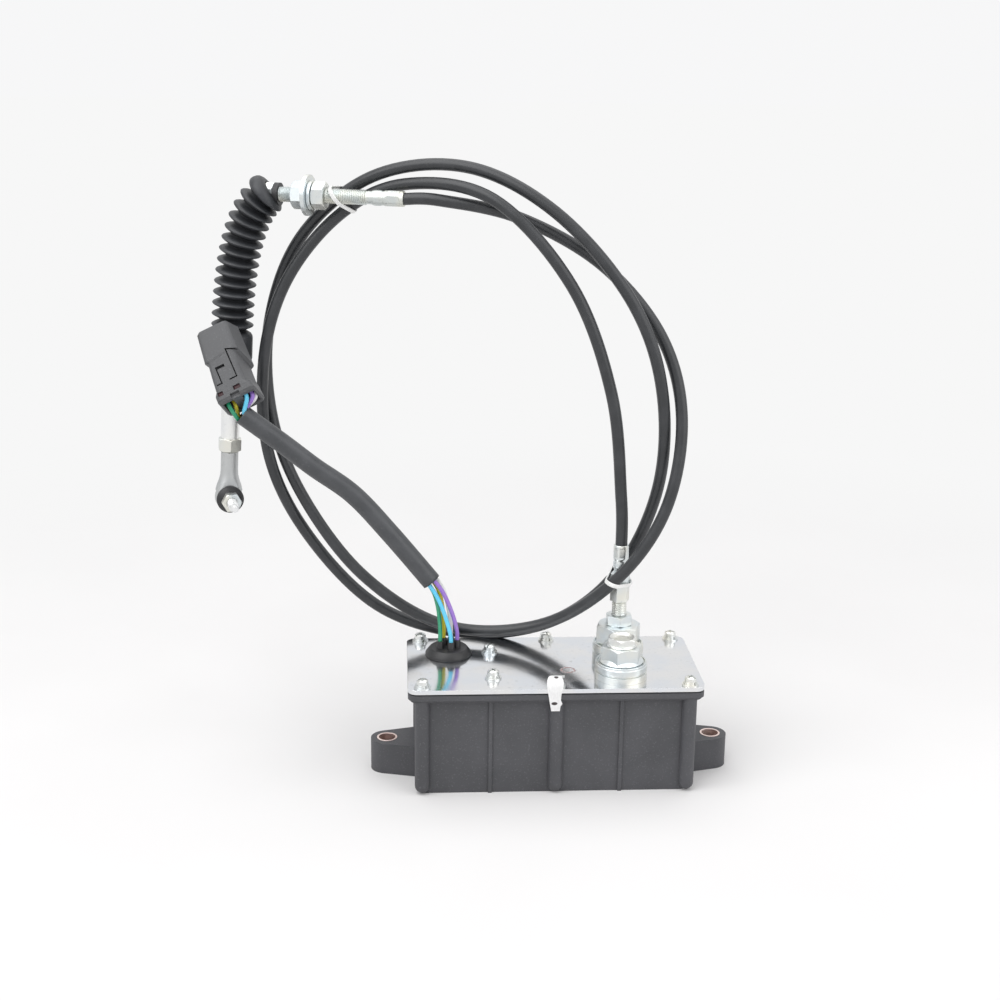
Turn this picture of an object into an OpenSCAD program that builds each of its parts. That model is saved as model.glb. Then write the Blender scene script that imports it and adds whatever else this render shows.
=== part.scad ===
// Engine governor actuator: a motor box with a push-pull control cable and a wiring lead.
// Millimetres. X runs along the box, Y runs to its back, Z is up from the middle of its base.

/* [Cover plate] */
// Length of the cover plate
plate_l = 155; // [139:1:171]
// Width of the cover plate
plate_w = 75; // [67:1:83]
// Thickness of the cover plate
plate_t = 2.3; // [1.5:0.1:3]
// Corner radius of the cover plate and the flange
plate_r = 5; // [2:0.5:8]
// Thickness of the gasket under the plate
gasket_t = 0.8; // [0.5:0.1:1.5]

/* [Housing] */
// Height from the base to the top of the cover plate
box_h = 60; // [54:1:70]
// How far the cover plate reaches past the housing at each end
end_overhang = 6; // [4:0.5:7]
// How far the cover plate reaches past the housing at the front and the back
side_overhang = 4.5; // [4:0.5:5.5]
// Wall thickness of the housing
wall = 3.2; // [2:0.1:4]
// Thickness of the housing floor
floor_t = 3.5; // [2:0.5:5]
// Thickness of the top flange
flange_t = 3; // [2:0.5:5]
// Diameter of the screw columns
column_d = 8; // [7.2:0.2:9]
// Distance of the cover screws from the plate's ends
end_inset = 7.5; // [6:0.5:9]
// Distance of the cover screws from the plate's front and back edges
side_inset = 4.5; // [4.4:0.1:5.5]
// Width of the moulded ribs
rib_w = 2; // [1:0.5:4]
// How far the ribs stand out
rib_out = 1; // [0.5:0.25:2]

/* [Mounting ears] */
// Distance of the mounting holes from the housing's end faces
ear_reach = 17; // [15:0.5:24]
// Height of the ears
ear_h = 17.5; // [12:0.5:24]
// Radius of the ear tips
ear_r = 8.8; // [7.5:0.2:11]
// Width of the ears where they meet the housing
ear_root = 28; // [22:1:36]
// Bore of the ear bushes
bush_bore = 9; // [6.5:0.5:9.5]
// Wall of the ear bushes
bush_wall = 1; // [0.6:0.1:1.6]

/* [Screws] */
// Thread diameter of the cover screws
screw_d = 4; // [3:0.5:4]
// Head diameter of the cover screws
head_d = 7; // [6.6:0.2:8]
// Head height of the cover screws
head_h = 3; // [2:0.2:4]
// Length of the cover screws under the head
screw_len = 16; // [13:1:20]
// Outer diameter of the flat washers
washer_d = 8.8; // [8:0.2:9]
// Thickness of the flat washers
washer_t = 0.8; // [0.5:0.1:1.2]
// Thickness of the spring washers
spring_t = 1; // [0.6:0.1:1.4]

/* [Cable outlets] */
// Distance of the rear outlet from the right end of the plate
outlet_inset = 40.5; // [38:0.5:42]
// Height of the outlet collars
collar_h = 8; // [6:0.5:12]
// Diameter of the threaded spigots of the outlet unions
spigot_d = 11.5; // [11:0.25:12]
// Size across flats of the front union
front_union_af = 19.6; // [19:0.2:22]
// Size across flats of the rear union
rear_union_af = 21.6; // [19:0.2:22]
// Height of the front union
front_union_h = 9.5; // [8:0.5:14]
// Height of the rear union
rear_union_h = 11; // [9:0.5:14]

/* [Cable fittings] */
// Thread diameter of the cable fittings
thread_d = 8; // [7:0.5:9]
// Size across flats of the nuts on that thread
nut_af = 13; // [12.4:0.2:15]
// Height of those nuts
nut_h = 5.4; // [4:0.2:6.6]
// Diameter of the crimped ferrules
ferrule_d = 8.2; // [7.6:0.2:9]
// Diameter of the core wire
core_d = 3; // [2:0.25:4]
// Diameter of the cable jacket
cable_d = 6.4; // [5.5:0.1:6.4]
// Diameter of the bulkhead washer
panel_washer_d = 21.5; // [18:0.5:24]

/* [Boot and rod] */
// Outer diameter of the boot's folds
boot_d = 23; // [20:0.5:24]
// Diameter at the bottom of the folds
boot_root_d = 14.4; // [13:0.2:17]
// Number of folds
folds = 14; // [8:1:16]
// Length of the boot's lower cuff
cuff_len = 17; // [12:1:20]
// Diameter of the end rod
rod_d = 10.2; // [8:0.2:10.8]
// Length of the end rod below the cuff
rod_len = 44; // [40:1:52]
// Diameter of the ball in the rod end
ball_d = 10; // [8:0.5:11]
// Outer diameter of the rod end's head
rod_end_d = 15.5; // [14:0.5:19]
// Diameter of the ball stud's thread
stud_d = 6; // [4:0.5:6]
// Length of the ball stud from the ball's centre
stud_len = 27; // [22:1:34]

/* [Drive] */
// Teeth of each pinion
pinion_teeth = 12; // [12:1:13]
// Teeth of each large gear
gear_teeth = 36; // [32:1:36]
// Diameter of the motor can
motor_d = 32; // [26:1:32]
// Length of the motor can
motor_l = 40; // [34:1:43]
// Diameter of the output shaft
shaft_d = 8; // [6:0.5:9]
// Diameter of the feedback sensor
sensor_d = 20; // [14:1:24]

/* [Wiring] */
// Diameter of the grommet's flange
grommet_d = 25; // [22:0.5:26]
// Diameter of the grommet's neck
neck_d = 14; // [13:0.5:16]
// Diameter of each wire
wire_d = 2.3; // [1.8:0.1:2.4]
// Diameter of the harness sleeve
sleeve_d = 10.8; // [10:0.2:11.4]
// Width of the connector's hood
hood_w = 24.5; // [23:0.5:27]
// Thickness of the connector's hood
hood_t = 17; // [16:0.5:18]
// Length of the connector
connector_l = 48; // [44:1:52]

/* [Hidden] */
$fn = 48;

// Clearances: close fit, running fit and free gap
fit = 0.02;
run = 0.08;
gap = 0.3;

// Housing, cavity and screw rows that follow from the cover plate
body_l = plate_l - 2 * end_overhang;
body_w = plate_w - 2 * side_overhang;
screw_pitch_x = plate_l - 2 * end_inset;
screw_pitch_y = plate_w - 2 * side_inset;
ear_pitch = body_l + 2 * ear_reach;
inner_end_x = body_l / 2 - wall;
inner_side_y = body_w / 2 - wall;
rib_x = 0.222 * plate_l;
// Width of the plate against the 75 mm for which the places across the box are given
span = plate_w / 75;

// Heights in the stack under and over the cover plate
plate_low = box_h - plate_t;
flange_top = plate_low - gasket_t;
flange_low = flange_top - flange_t;
flange_step = 2.6;
collar_top = box_h + collar_h;
front_union_top = collar_top + front_union_h;
rear_union_top = collar_top + rear_union_h;
lock_nut_top = rear_union_top + nut_h;
entry_hex_low = lock_nut_top + 8;
entry_hex_h = 15.6;
entry_hex_af = 9.4;
ferrule_low = entry_hex_low + entry_hex_h;
entry_ferrule_l = 16;
entry_top = ferrule_low + entry_ferrule_l;
entry_low = box_h + 2;

// Outlets: the rear one takes the cable, the front one is closed
rear_x = plate_l / 2 - outlet_inset;
front_x = rear_x - 2;
outlet_pitch = 28 * span;
rear_y = 8 * span;
front_y = rear_y - outlet_pitch;
outlet_mid_y = (rear_y + front_y) / 2;
collar_d = outlet_pitch - 0.4;
outlet_nut_h = 4.5;
outlet_nut_af = spigot_d + 4;

// Cover screws: two rows of three, and two that hold the motor bracket
end_play = 2.3;
web_t = 3;
web_x = motor_l + end_play - inner_end_x;
bracket_screw_x = web_x - 6.6;
bracket_screw_y = [inner_side_y - 14.5, 8.7 - inner_side_y];
rim_screws = [for (x = [-1, 0, 1], y = [-1, 1]) [x * screw_pitch_x / 2, y * screw_pitch_y / 2]];
bracket_screws = [for (y = bracket_screw_y) [bracket_screw_x, y]];
all_screws = concat(rim_screws, bracket_screws);
spring_low = box_h + washer_t;
head_low = spring_low + spring_t;
spring_washer_d = head_d + 0.2;
screw_hole_d = screw_d + 0.2;
plate_hole_d = screw_d + 0.5;
column_low = 0.6;

// Grommet and the wire stubs on its neck
grommet_x = 13.3 - inner_end_x;
grommet_y = 14 * span;
grommet_hole_d = neck_d + 4;
neck_h = 8;
neck_top = box_h + neck_h;
stub_h = 3;
stub_wall = 0.6;
stub_places = [[-4.6, 1.6], [-2.6, -3.2], [1.2, -4.2], [1.4, 3.8], [4.7, -0.4]];
wire_start_z = neck_top + stub_h;

// Drive train: the gears take the room inside, and the shaft axes are given in the YZ plane
inner_h = plate_low - floor_t;
module_2 = min(inner_side_y / 29.8, inner_h / 50);
module_1 = 0.75 * module_2;
tip_share = 0.75;
root_share = 1.1;
shaft_y = outlet_mid_y;
drum_r = outlet_pitch / 2;
pair_1 = module_1 * (pinion_teeth + gear_teeth) / 2;
pair_2 = module_2 * (pinion_teeth + gear_teeth) / 2;
idler_angle = 36;
motor_angle = 250;
train_low = module_2 * (gear_teeth / 2 + tip_share);
train_high = pair_2 * sin(idler_angle) + module_1 * (gear_teeth / 2 + tip_share);
shaft_z = floor_t + (inner_h - train_high + train_low) / 2;
idler_yz = [shaft_y, shaft_z] + pair_2 * [cos(idler_angle), sin(idler_angle)];
motor_yz = idler_yz + pair_1 * [cos(motor_angle), sin(motor_angle)];
web_face = web_x + web_t;
face_1 = 6;
face_2 = 7;
gear_1_x = web_face + 3;
pinion_2_x = gear_1_x + face_1;
gear_2_x = pinion_2_x + 3;
pinion_2_l = face_2 + 5;
idler_bore_d = 4;
idler_pin_end = pinion_2_x + pinion_2_l + 2;
motor_shaft_d = 4;
shaft_in_can = 12;
hub_l = 4;
hub_wall = 3;
drum_w = 10;
drum_flange_r = drum_r + 1.6;
groove_w = core_d + 0.6;
pier_x = rear_x + drum_w / 2 + 8;
pier_t = 4;
bearing_d = shaft_d + 4;
bearing_lip = 1;
sensor_bore_d = 4;
sensor_x = pier_x + pier_t + 3;
sensor_l = inner_end_x - sensor_x;
sensor_stub = sensor_l * 0.6;
core_low = shaft_z + 8;
core_high = entry_top - 4;

// Places of the cords are given for the rear outlet at [37, 8] and the cable's lower end at 124
function placed(p) = [p[0] + rear_x - 37, p[1] * span, p[2] + entry_top - 124];

// Bulkhead fitting: its end of the cable, its heading and its lengths along that heading
fitting_at = placed([-78, 44, 302]);
fitting_yaw = 163;
seat_gap = 0.1;
ferrule_end = 20.8;
nut_2_at = 43;
washer_at = nut_2_at + nut_h + 1.6;
panel_washer_t = 2.4;
lock_washer_t = 2;
nut_1_at = washer_at + panel_washer_t + lock_washer_t;
thread_end = 77;
boot_ring_at = 68.6;
boot_ring_l = 3;
boot_nut_at = boot_ring_at + boot_ring_l;
boot_nut_l = 5;
boot_nut_af = 10.4;
fitting_dir = [cos(fitting_yaw), sin(fitting_yaw), 0];
boot_at = fitting_at + fitting_dir * (boot_nut_at + boot_nut_l + seat_gap);

// Boot: bends down from the fitting, then hangs along the rod's axis
rod_tilt = 3;
rod_dir = [-sin(rod_tilt), 0, -cos(rod_tilt)];
cuff_at = placed([-172, 72, 228]);
boot_pull_1 = 17;
boot_pull_2 = 38;
boot_path = [boot_at, boot_at + fitting_dir * boot_pull_1, cuff_at - rod_dir * boot_pull_2, cuff_at];
boot_sides = 16;
boot_bore_r = rod_d / 2 + gap;
boot_side_ref = [-sin(fitting_yaw), cos(fitting_yaw), 0];
cuff_d = boot_d - 0.6;

// Rod, jam nut and rod end, measured from the end of the cuff
rod_at = cuff_at + rod_dir * cuff_len;
rod_inside = 14;
jam_nut_h = 7;
jam_nut_af = 12;
shank_d = 9.6;
shank_l = 22;
socket_reach = 27;
ball_drop = rod_len + jam_nut_h + socket_reach;
ball_at = rod_at + rod_dir * ball_drop;
rod_end_t = 11;
stud_yaw = 13;
seal_t = 4;
stud_nut_h = 5;
stud_nut_af = 9.6;

// Routes of the cords: knots in round millimetres, joined by a smooth line. The cable makes two turns.
cable_knots = [
    [37, 8, 124], [36, 8, 150], [29, 8, 206], [7, 11, 262], [-33, 26, 304], [-78, 50, 309], [-113, 65, 291],
    [-142, 68, 255], [-155, 66, 211], [-153, 64, 158], [-132, 61, 113], [-94, 54, 74], [-47, 44, 61],
    [1, 29, 72], [36, 18, 104], [56, 12, 154], [55, 6, 209], [37, 8, 256], [-1, 22, 298], [-46, 40, 319],
    [-95, 59, 312], [-134, 76, 278], [-152, 76, 232], [-152, 72, 182], [-136, 62, 138], [-102, 46, 95],
    [-56, 34, 69], [-5, 20, 74], [33, 0, 106], [58, -3, 146], [66, 5, 193], [55, 14, 235], [24, 24, 271],
    [-19, 32, 294], [-60, 38.5, 302], [-78, 44, 302]
];
cable_route = [for (p = smooth(cable_knots)) placed(p)];
cable_ref = [0.35, 0.94, 0];
// The sleeve's route is given for the grommet at x = -55 and the connector at x = -165, 139 over the plate
connector_at = placed([-165, 32, 199]);
sleeve_run = (grommet_x - connector_at[0]) / 110;
sleeve_rise = (connector_at[2] - box_h) / 139;
sleeve_knots = [
    [-60, 24, 97], [-80, 28, 128], [-103, 31, 150], [-125, 33, 163], [-143, 33, 175], [-162, 32, 188]
];
sleeve_route = [
    for (p = smooth(sleeve_knots))
        [grommet_x + (p[0] + 55) * sleeve_run, p[1] * span, box_h + (p[2] - 60) * sleeve_rise]
];
sleeve_ref = [0.1, 1, 0];

// Connector: middle of its wire end, tilt and leaning, and the lengths along it
connector_turn = [-28, -26, 0];
wire_end_low = -3;
wire_end_h = 8;
wire_end_w = 24;
wire_end_t = 16;
neck_w = 20;
neck_t = 14.6;
hood_low = 23;
hood_len = connector_l + wire_end_low - hood_low;
lobe_x = 5.6;
lobe_r = 4;
lobe_depth = 6;
corner_r = 2.6;
window_w = 4;
window_h = 3;
window_z = 6.6;
groove_t = 0.8;
groove_w_latch = 1;
tongue_w = 12;
tongue_t = 5.6;
hood_wall = 2.2;
hood_depth = 14;

// Wires: places round the sleeve's axis at both ends, and how far each bows out on its way up
wire_ring_low = [[2.9, 2.1], [2.9, -2.1], [-1.1, -3.4], [-1.1, 3.4], [-3.6, 0]];
wire_ring_high = [[3, -2.2], [3, 2.2], [-1.1, -3.5], [-1.1, 3.5], [-3.7, 0]];
wire_bow = [[2, 3, -2], [3, 2, 0], [2, -2, 0], [6, 2, 2], [9, -1, 2]];
wire_holes = [[-6.9, -1.4], [-4.3, 1.4], [4, -2.2], [5.2, 2.6], [7.2, -1]];
wire_gap = 0.15;
wire_straight = 1.2;
wire_sides = 8;

function unit(v) = v / norm(v);
function heading(p, i) = unit(p[min(i + 1, len(p) - 1)] - p[max(i - 1, 0)]);
function ring(c, t, ref, r, n) =
    let (u = unit(cross(t, ref)), v = cross(u, t))
    [for (k = [0 : n - 1]) c + r * (cos(360 * k / n) * u + sin(360 * k / n) * v)];
function flat(lists) = [for (l = lists, e = l) e];

// Points on a cubic curve through four control points
function bend(p, t) =
    pow(1 - t, 3) * p[0] + 3 * t * pow(1 - t, 2) * p[1] + 3 * t * t * (1 - t) * p[2] + pow(t, 3) * p[3];
function bend_heading(p, t) =
    unit(pow(1 - t, 2) * (p[1] - p[0]) + 2 * t * (1 - t) * (p[2] - p[1]) + t * t * (p[3] - p[2]));

// A line through knots, with one point more between each two
function knot(p, i) = p[max(0, min(i, len(p) - 1))];
function after_knot(p, i, t) =
    let (
        a = knot(p, i), b = knot(p, i + 1),
        pull_a = (b - knot(p, i - 1)) / 6,
        pull_b = (knot(p, i + 2) - a) / 6
    )
    bend([a, a + pull_a, b - pull_b, b], t);
function smooth(p) = concat(
    [for (i = [0 : len(p) - 2], t = [0, 0.5]) after_knot(p, i, t)],
    [p[len(p) - 1]]
);

// Side faces between rings of n points, and the two end caps
function skin(rings, n) = flat([
    for (i = [0 : rings - 2], k = [0 : n - 1])
        let (a = i * n + k, b = i * n + (k + 1) % n)
        [[a, b, b + n], [a, b + n, a + n]]
]);
function caps(rings, n) = [
    [for (k = [n - 1 : -1 : 0]) k],
    [for (k = [0 : n - 1]) (rings - 1) * n + k]
];

module tube(path, d, n, ref) {
    points = flat([for (i = [0 : len(path) - 1]) ring(path[i], heading(path, i), ref, d / 2, n)]);
    polyhedron(points, concat(skin(len(path), n), caps(len(path), n)));
}

module rounded_rect(l, w, r) {
    square([l - 2 * r, w], center = true);
    square([l, w - 2 * r], center = true);
    for (x = [-1, 1], y = [-1, 1])
        translate([x * (l / 2 - r), y * (w / 2 - r)]) circle(r);
}

module slab(l, w, r, low, high) {
    translate([0, 0, low]) linear_extrude(high - low) rounded_rect(l, w, r);
}

module hex(af, h) {
    cylinder(d = af / cos(30), h = h, $fn = 6);
}

// A hexagon nut with chamfered corners on both faces
module hex_chamfered(af, h) {
    chamfer = (af / cos(30) - af) / 2;
    intersection() {
        hex(af, h);
        rotate_extrude() polygon([
            [0, 0], [af / 2, 0], [af / 2 + chamfer, chamfer * 0.6], [af / 2 + chamfer, h - chamfer * 0.6],
            [af / 2, h], [0, h]
        ]);
    }
}

module along_x(y, z) {
    translate([0, y, z]) rotate([0, 90, 0]) children();
}

module on_fitting(s) {
    translate(fitting_at + fitting_dir * s) rotate([0, 90, fitting_yaw]) children();
}

module on_rod(s) {
    translate(rod_at + rod_dir * s) rotate([180, rod_tilt, 0]) children();
}

module on_stud(s) {
    translate(ball_at) rotate([0, 0, stud_yaw]) translate([0, -s, 0]) rotate([90, 0, 0]) children();
}

module in_connector() {
    translate(connector_at) rotate(connector_turn) children();
}

// Involute gear: half a tooth's flank from the root to the tip, as [radius, angle] pairs
function inv(a) = tan(a) - a * PI / 180;
function flank_angle(r, rb) = r <= rb ? 0 : inv(acos(rb / r)) * 180 / PI;
function flank(m, z, backlash) =
    let (
        rp = m * z / 2, rb = rp * cos(20), tip = rp + tip_share * m, root = rp - root_share * m,
        half = 90 / z - backlash / rp * 90 / PI + flank_angle(rp, rb)
    )
    [for (r = [root, max(rb, root + 0.05), (max(rb, root) + tip) / 2, tip]) [r, half - flank_angle(r, rb)]];
function gear_points(m, z, backlash) =
    let (f = flank(m, z, backlash), last = len(f) - 1)
    flat([for (k = [0 : z - 1]) concat(
        [for (i = [0 : last]) f[i][0] * [cos(360 * k / z - f[i][1]), sin(360 * k / z - f[i][1])]],
        [for (i = [last : -1 : 0]) f[i][0] * [cos(360 * k / z + f[i][1]), sin(360 * k / z + f[i][1])]]
    )]);
tooth_play = 0.16;

// A gear on an axis along X, turned so that a tooth points at the angle given in the YZ plane
module gear(m, z, face, bore, x, yz, turn) {
    translate([x, yz[0], yz[1]]) rotate([90, 0, 90]) linear_extrude(face) difference() {
        rotate(turn) polygon(gear_points(m, z, tooth_play));
        circle(d = bore);
    }
}

// Point where a line from p touches a circle round c, on the side given by s
function touch(p, c, r, s) =
    let (d = norm(c - p), a = atan2(p[1] - c[1], p[0] - c[0]), b = acos(r / d))
    c + r * [cos(a + s * b), sin(a + s * b)];

module ear_outline(side) {
    hole = [side * ear_pitch / 2, 0];
    wall_x = side * (body_l / 2 - wall / 2);
    upper = [wall_x, ear_root / 2];
    lower = [wall_x, -ear_root / 2];
    // The flanks end a hair inside the tip's circle, so that the two cross instead of only touching
    flank_r = ear_r - fit;
    translate(hole) circle(ear_r);
    polygon([upper, touch(upper, hole, flank_r, -side), hole, touch(lower, hole, flank_r, side), lower]);
}

module housing() color([0.17, 0.17, 0.18]) difference() {
    union() {
        slab(body_l, body_w, plate_r, 0, flange_low);
        slab(plate_l, plate_w, plate_r, flange_low, flange_top);
        // Stepped shoulder under the flange
        slab(plate_l - flange_step, plate_w - flange_step, plate_r - flange_step / 2,
            flange_low - flange_step / 2, flange_low + 0.1);
        for (p = rim_screws) translate([p[0], p[1], 0]) {
            column_r = column_d / 2;
            rotate_extrude() polygon(concat(
                [[0, flange_low]],
                [for (a = [-90 : 15 : 0]) [column_r * cos(a), column_low + column_r + column_r * sin(a)]],
                [[column_r, flange_low]]
            ));
        }
        for (x = [-rib_x, rib_x], s = [-1, 1])
            translate([x - rib_w / 2, s * body_w / 2 - rib_out, 0]) cube([rib_w, 2 * rib_out, flange_low]);
        for (s = [-1, 1]) linear_extrude(ear_h) ear_outline(s);
    }
    difference() {
        slab(body_l - 2 * wall, body_w - 2 * wall, plate_r, floor_t, flange_top + 1);
        // Pier that carries the far end of the output shaft
        translate([pier_x, -body_w / 2, 0]) cube([pier_t, body_w, shaft_z + bearing_d]);
    }
    along_x(shaft_y, shaft_z) translate([0, 0, pier_x - 1]) cylinder(d = bearing_d + 2 * fit, h = pier_t + 2);
    for (p = rim_screws) translate([p[0], p[1], head_low - screw_len - 1])
        cylinder(d = screw_hole_d, h = screw_len + 2);
    for (s = [-1, 1]) translate([s * ear_pitch / 2, 0, -1])
        cylinder(d = bush_bore + 2 * bush_wall + 2 * fit, h = ear_h + 2);
}

module ear_bushes() color([0.66, 0.42, 0.28]) for (s = [-1, 1]) translate([s * ear_pitch / 2, 0, 0])
    difference() {
        cylinder(d = bush_bore + 2 * bush_wall, h = ear_h + 0.2);
        translate([0, 0, -1]) cylinder(d = bush_bore, h = ear_h + 3);
    }

module cover_gasket() color([0.1, 0.1, 0.1]) difference() {
    slab(plate_l - 1, plate_w - 1, plate_r - 0.5, flange_top, plate_low);
    slab(body_l - 2 * wall, body_w - 2 * wall, plate_r, flange_top - 1, plate_low + 1);
    for (p = rim_screws) translate([p[0], p[1], flange_top - 1]) cylinder(d = plate_hole_d, h = gasket_t + 2);
}

module cover_plate() color([0.78, 0.8, 0.82]) difference() {
    slab(plate_l, plate_w, plate_r, plate_low, box_h);
    for (p = all_screws) translate([p[0], p[1], plate_low - 1]) cylinder(d = plate_hole_d, h = plate_t + 2);
    translate([grommet_x, grommet_y, plate_low - 1]) cylinder(d = grommet_hole_d, h = plate_t + 2);
    for (p = [[rear_x, rear_y], [front_x, front_y]])
        translate([p[0], p[1], plate_low - 1]) cylinder(d = spigot_d + 2 * run, h = plate_t + 2);
}

module cover_screws() color([0.8, 0.8, 0.8]) for (p = all_screws) translate([p[0], p[1], head_low])
    difference() {
        union() {
            rotate_extrude() polygon([
                [0, 0], [head_d / 2, 0], [head_d / 2, head_h - 0.7], [head_d / 2 - 0.8, head_h], [0, head_h]
            ]);
            translate([0, 0, -screw_len]) cylinder(d = screw_d, h = screw_len + 0.1);
        }
        translate([-head_d, -0.5, head_h - 1.3]) cube([2 * head_d, 1, 2]);
        translate([-0.5, -head_d / 3, head_h - 1.3]) cube([1, 2 * head_d / 3, 2]);
    }

module spring_washers() color([0.72, 0.72, 0.74]) for (p = all_screws) translate([p[0], p[1], spring_low])
    difference() {
        cylinder(d = spring_washer_d, h = spring_t);
        translate([0, 0, -1]) cylinder(d = screw_d + 0.3, h = spring_t + 2);
        rotate(-60) translate([0, -0.3, -1]) cube([spring_washer_d, 0.6, spring_t + 2]);
    }

module flat_washers() color([0.8, 0.8, 0.82]) for (p = all_screws) translate([p[0], p[1], box_h])
    difference() {
        cylinder(d = washer_d, h = washer_t);
        translate([0, 0, -1]) cylinder(d = screw_d + 0.4, h = washer_t + 2);
    }

// Rubber grommet: domed flange, waist in the plate's hole, lip below and wire stubs above
module wire_grommet() color([0.08, 0.08, 0.08]) translate([grommet_x, grommet_y, 0]) {
    waist_r = grommet_hole_d / 2 - fit;
    rotate_extrude() polygon([
        [0, plate_low - 3], [waist_r + 0.6, plate_low - 3], [waist_r + 2, plate_low - 0.1],
        [waist_r, plate_low - 0.1], [waist_r, box_h], [grommet_d / 2, box_h],
        [grommet_d / 2, box_h + 0.2 * neck_h], [grommet_d / 2 - 1.2, box_h + 0.38 * neck_h],
        [neck_d / 2 + 1.6, box_h + 0.58 * neck_h], [neck_d / 2, box_h + 0.68 * neck_h],
        [neck_d / 2, neck_top - 0.8],
        [neck_d / 2 - 0.8, neck_top], [0, neck_top]
    ]);
    for (p = stub_places) translate([p[0], p[1], neck_top - 0.5])
        cylinder(d = wire_d + 2 * stub_wall, h = stub_h + 0.5, $fn = 24);
}

module outlet_collars() color([0.75, 0.76, 0.78]) for (p = [[rear_x, rear_y], [front_x, front_y]])
    translate([p[0], p[1], box_h]) rotate_extrude() polygon([
        [spigot_d / 2 + run, 0], [collar_d / 2, 0], [collar_d / 2, collar_h * 0.42],
        [collar_d / 2 - 0.9, collar_h * 0.46], [collar_d / 2 - 0.9, collar_h * 0.58],
        [collar_d / 2, collar_h * 0.62], [collar_d / 2, collar_h - 0.6],
        [collar_d / 2 - 0.6, collar_h], [spigot_d / 2 + run, collar_h]
    ]);

module outlet_nuts() color([0.72, 0.73, 0.75]) for (p = [[rear_x, rear_y], [front_x, front_y]])
    translate([p[0], p[1], plate_low - outlet_nut_h]) difference() {
        hex_chamfered(outlet_nut_af, outlet_nut_h);
        translate([0, 0, -1]) cylinder(d = spigot_d + 2 * run, h = outlet_nut_h + 2);
    }

// Threaded spigot through the plate with a hexagon body over the collar
module outlet_union(af, h, bore) {
    spigot_low = plate_low - outlet_nut_h - 1;
    difference() {
        union() {
            translate([0, 0, spigot_low]) cylinder(d = spigot_d, h = collar_top - spigot_low + 0.1);
            translate([0, 0, collar_top]) rotate(12) hex_chamfered(af, h);
        }
        translate([0, 0, spigot_low - 1]) cylinder(d = bore, h = collar_top + h);
    }
}

module front_union() color([0.78, 0.79, 0.8]) translate([front_x, front_y, 0])
    outlet_union(front_union_af, front_union_h, thread_d + 2 * run);

blank_af = 13.9;
blank_h = 4.6;
blank_len = 18;

module blanking_screw() color([0.82, 0.83, 0.84]) translate([front_x, front_y, front_union_top]) {
    rotate(20) hex_chamfered(blank_af, blank_h);
    translate([0, 0, -blank_len]) cylinder(d = thread_d, h = blank_len + 0.1);
}

module rear_union() color([0.78, 0.79, 0.8]) translate([rear_x, rear_y, 0])
    outlet_union(rear_union_af, rear_union_h, thread_d + 2 * run);

module rear_lock_nut() color([0.76, 0.77, 0.79]) translate([rear_x, rear_y, rear_union_top]) difference() {
    rotate(30) hex_chamfered(nut_af, nut_h);
    translate([0, 0, -1]) cylinder(d = thread_d + 2 * run, h = nut_h + 2);
}

// Threaded stub, hexagon and crimped ferrule at the cable's lower end
module conduit_entry() color([0.8, 0.81, 0.82]) translate([rear_x, rear_y, 0]) difference() {
    union() {
        translate([0, 0, entry_low]) cylinder(d = thread_d, h = entry_hex_low - entry_low + 0.1);
        translate([0, 0, entry_hex_low]) rotate(8) hex_chamfered(entry_hex_af, entry_hex_h);
        translate([0, 0, ferrule_low]) ferrule_form(entry_top - ferrule_low);
    }
    translate([0, 0, entry_low - 1]) cylinder(d = core_d + 2 * run, h = entry_top - entry_low + 2);
}

// A ferrule with two crimped bands, from z = 0 up to its mouth
module ferrule_form(l) {
    r = ferrule_d / 2;
    crimp_r = r - 0.5;
    rotate_extrude() polygon([
        [0, 0], [r - 0.6, 0], [r - 0.6, l * 0.1], [r, l * 0.14], [r, l * 0.34], [crimp_r, l * 0.38],
        [crimp_r, l * 0.5], [r, l * 0.54], [r, l * 0.72], [crimp_r, l * 0.76], [crimp_r, l * 0.86],
        [r, l * 0.9], [r, l], [0, l]
    ]);
}

module control_cable() color([0.13, 0.13, 0.14])
    tube(cable_route, cable_d, 10, cable_ref);

module bulkhead_tube() color([0.8, 0.81, 0.8]) {
    on_fitting(ferrule_end) mirror([0, 0, 1]) ferrule_form(ferrule_end - seat_gap);
    on_fitting(ferrule_end - 0.1) cylinder(d = thread_d, h = thread_end - ferrule_end);
}

module bulkhead_nuts() color([0.77, 0.79, 0.8]) for (s = [nut_2_at, nut_1_at]) on_fitting(s) difference() {
    rotate(s == nut_1_at ? 10 : 0) hex_chamfered(nut_af, nut_h + 1.4);
    translate([0, 0, -1]) cylinder(d = thread_d + 2 * run, h = nut_h + 4);
}

module bulkhead_washers() color([0.8, 0.84, 0.85]) {
    on_fitting(washer_at) difference() {
        cylinder(d = nut_af + 2.5, h = lock_washer_t - 0.2);
        translate([0, 0, -1]) cylinder(d = thread_d + 2 * run, h = lock_washer_t + 2);
    }
    on_fitting(washer_at + lock_washer_t) difference() {
        cylinder(d = panel_washer_d, h = panel_washer_t - 0.2);
        translate([0, 0, -1]) cylinder(d = thread_d + 2 * run, h = panel_washer_t + 2);
    }
}

module boot_ring() color([0.07, 0.07, 0.07]) on_fitting(boot_ring_at) difference() {
    cylinder(d = thread_d + 4, h = boot_ring_l - 0.1);
    translate([0, 0, -1]) cylinder(d = thread_d + 2 * run, h = boot_ring_l + 2);
}

module boot_nut() color([0.78, 0.79, 0.8]) on_fitting(boot_nut_at) difference() {
    hex_chamfered(boot_nut_af, boot_nut_l);
    translate([0, 0, -1]) cylinder(d = thread_d + 2 * run, h = boot_nut_l + 2);
}

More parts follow.
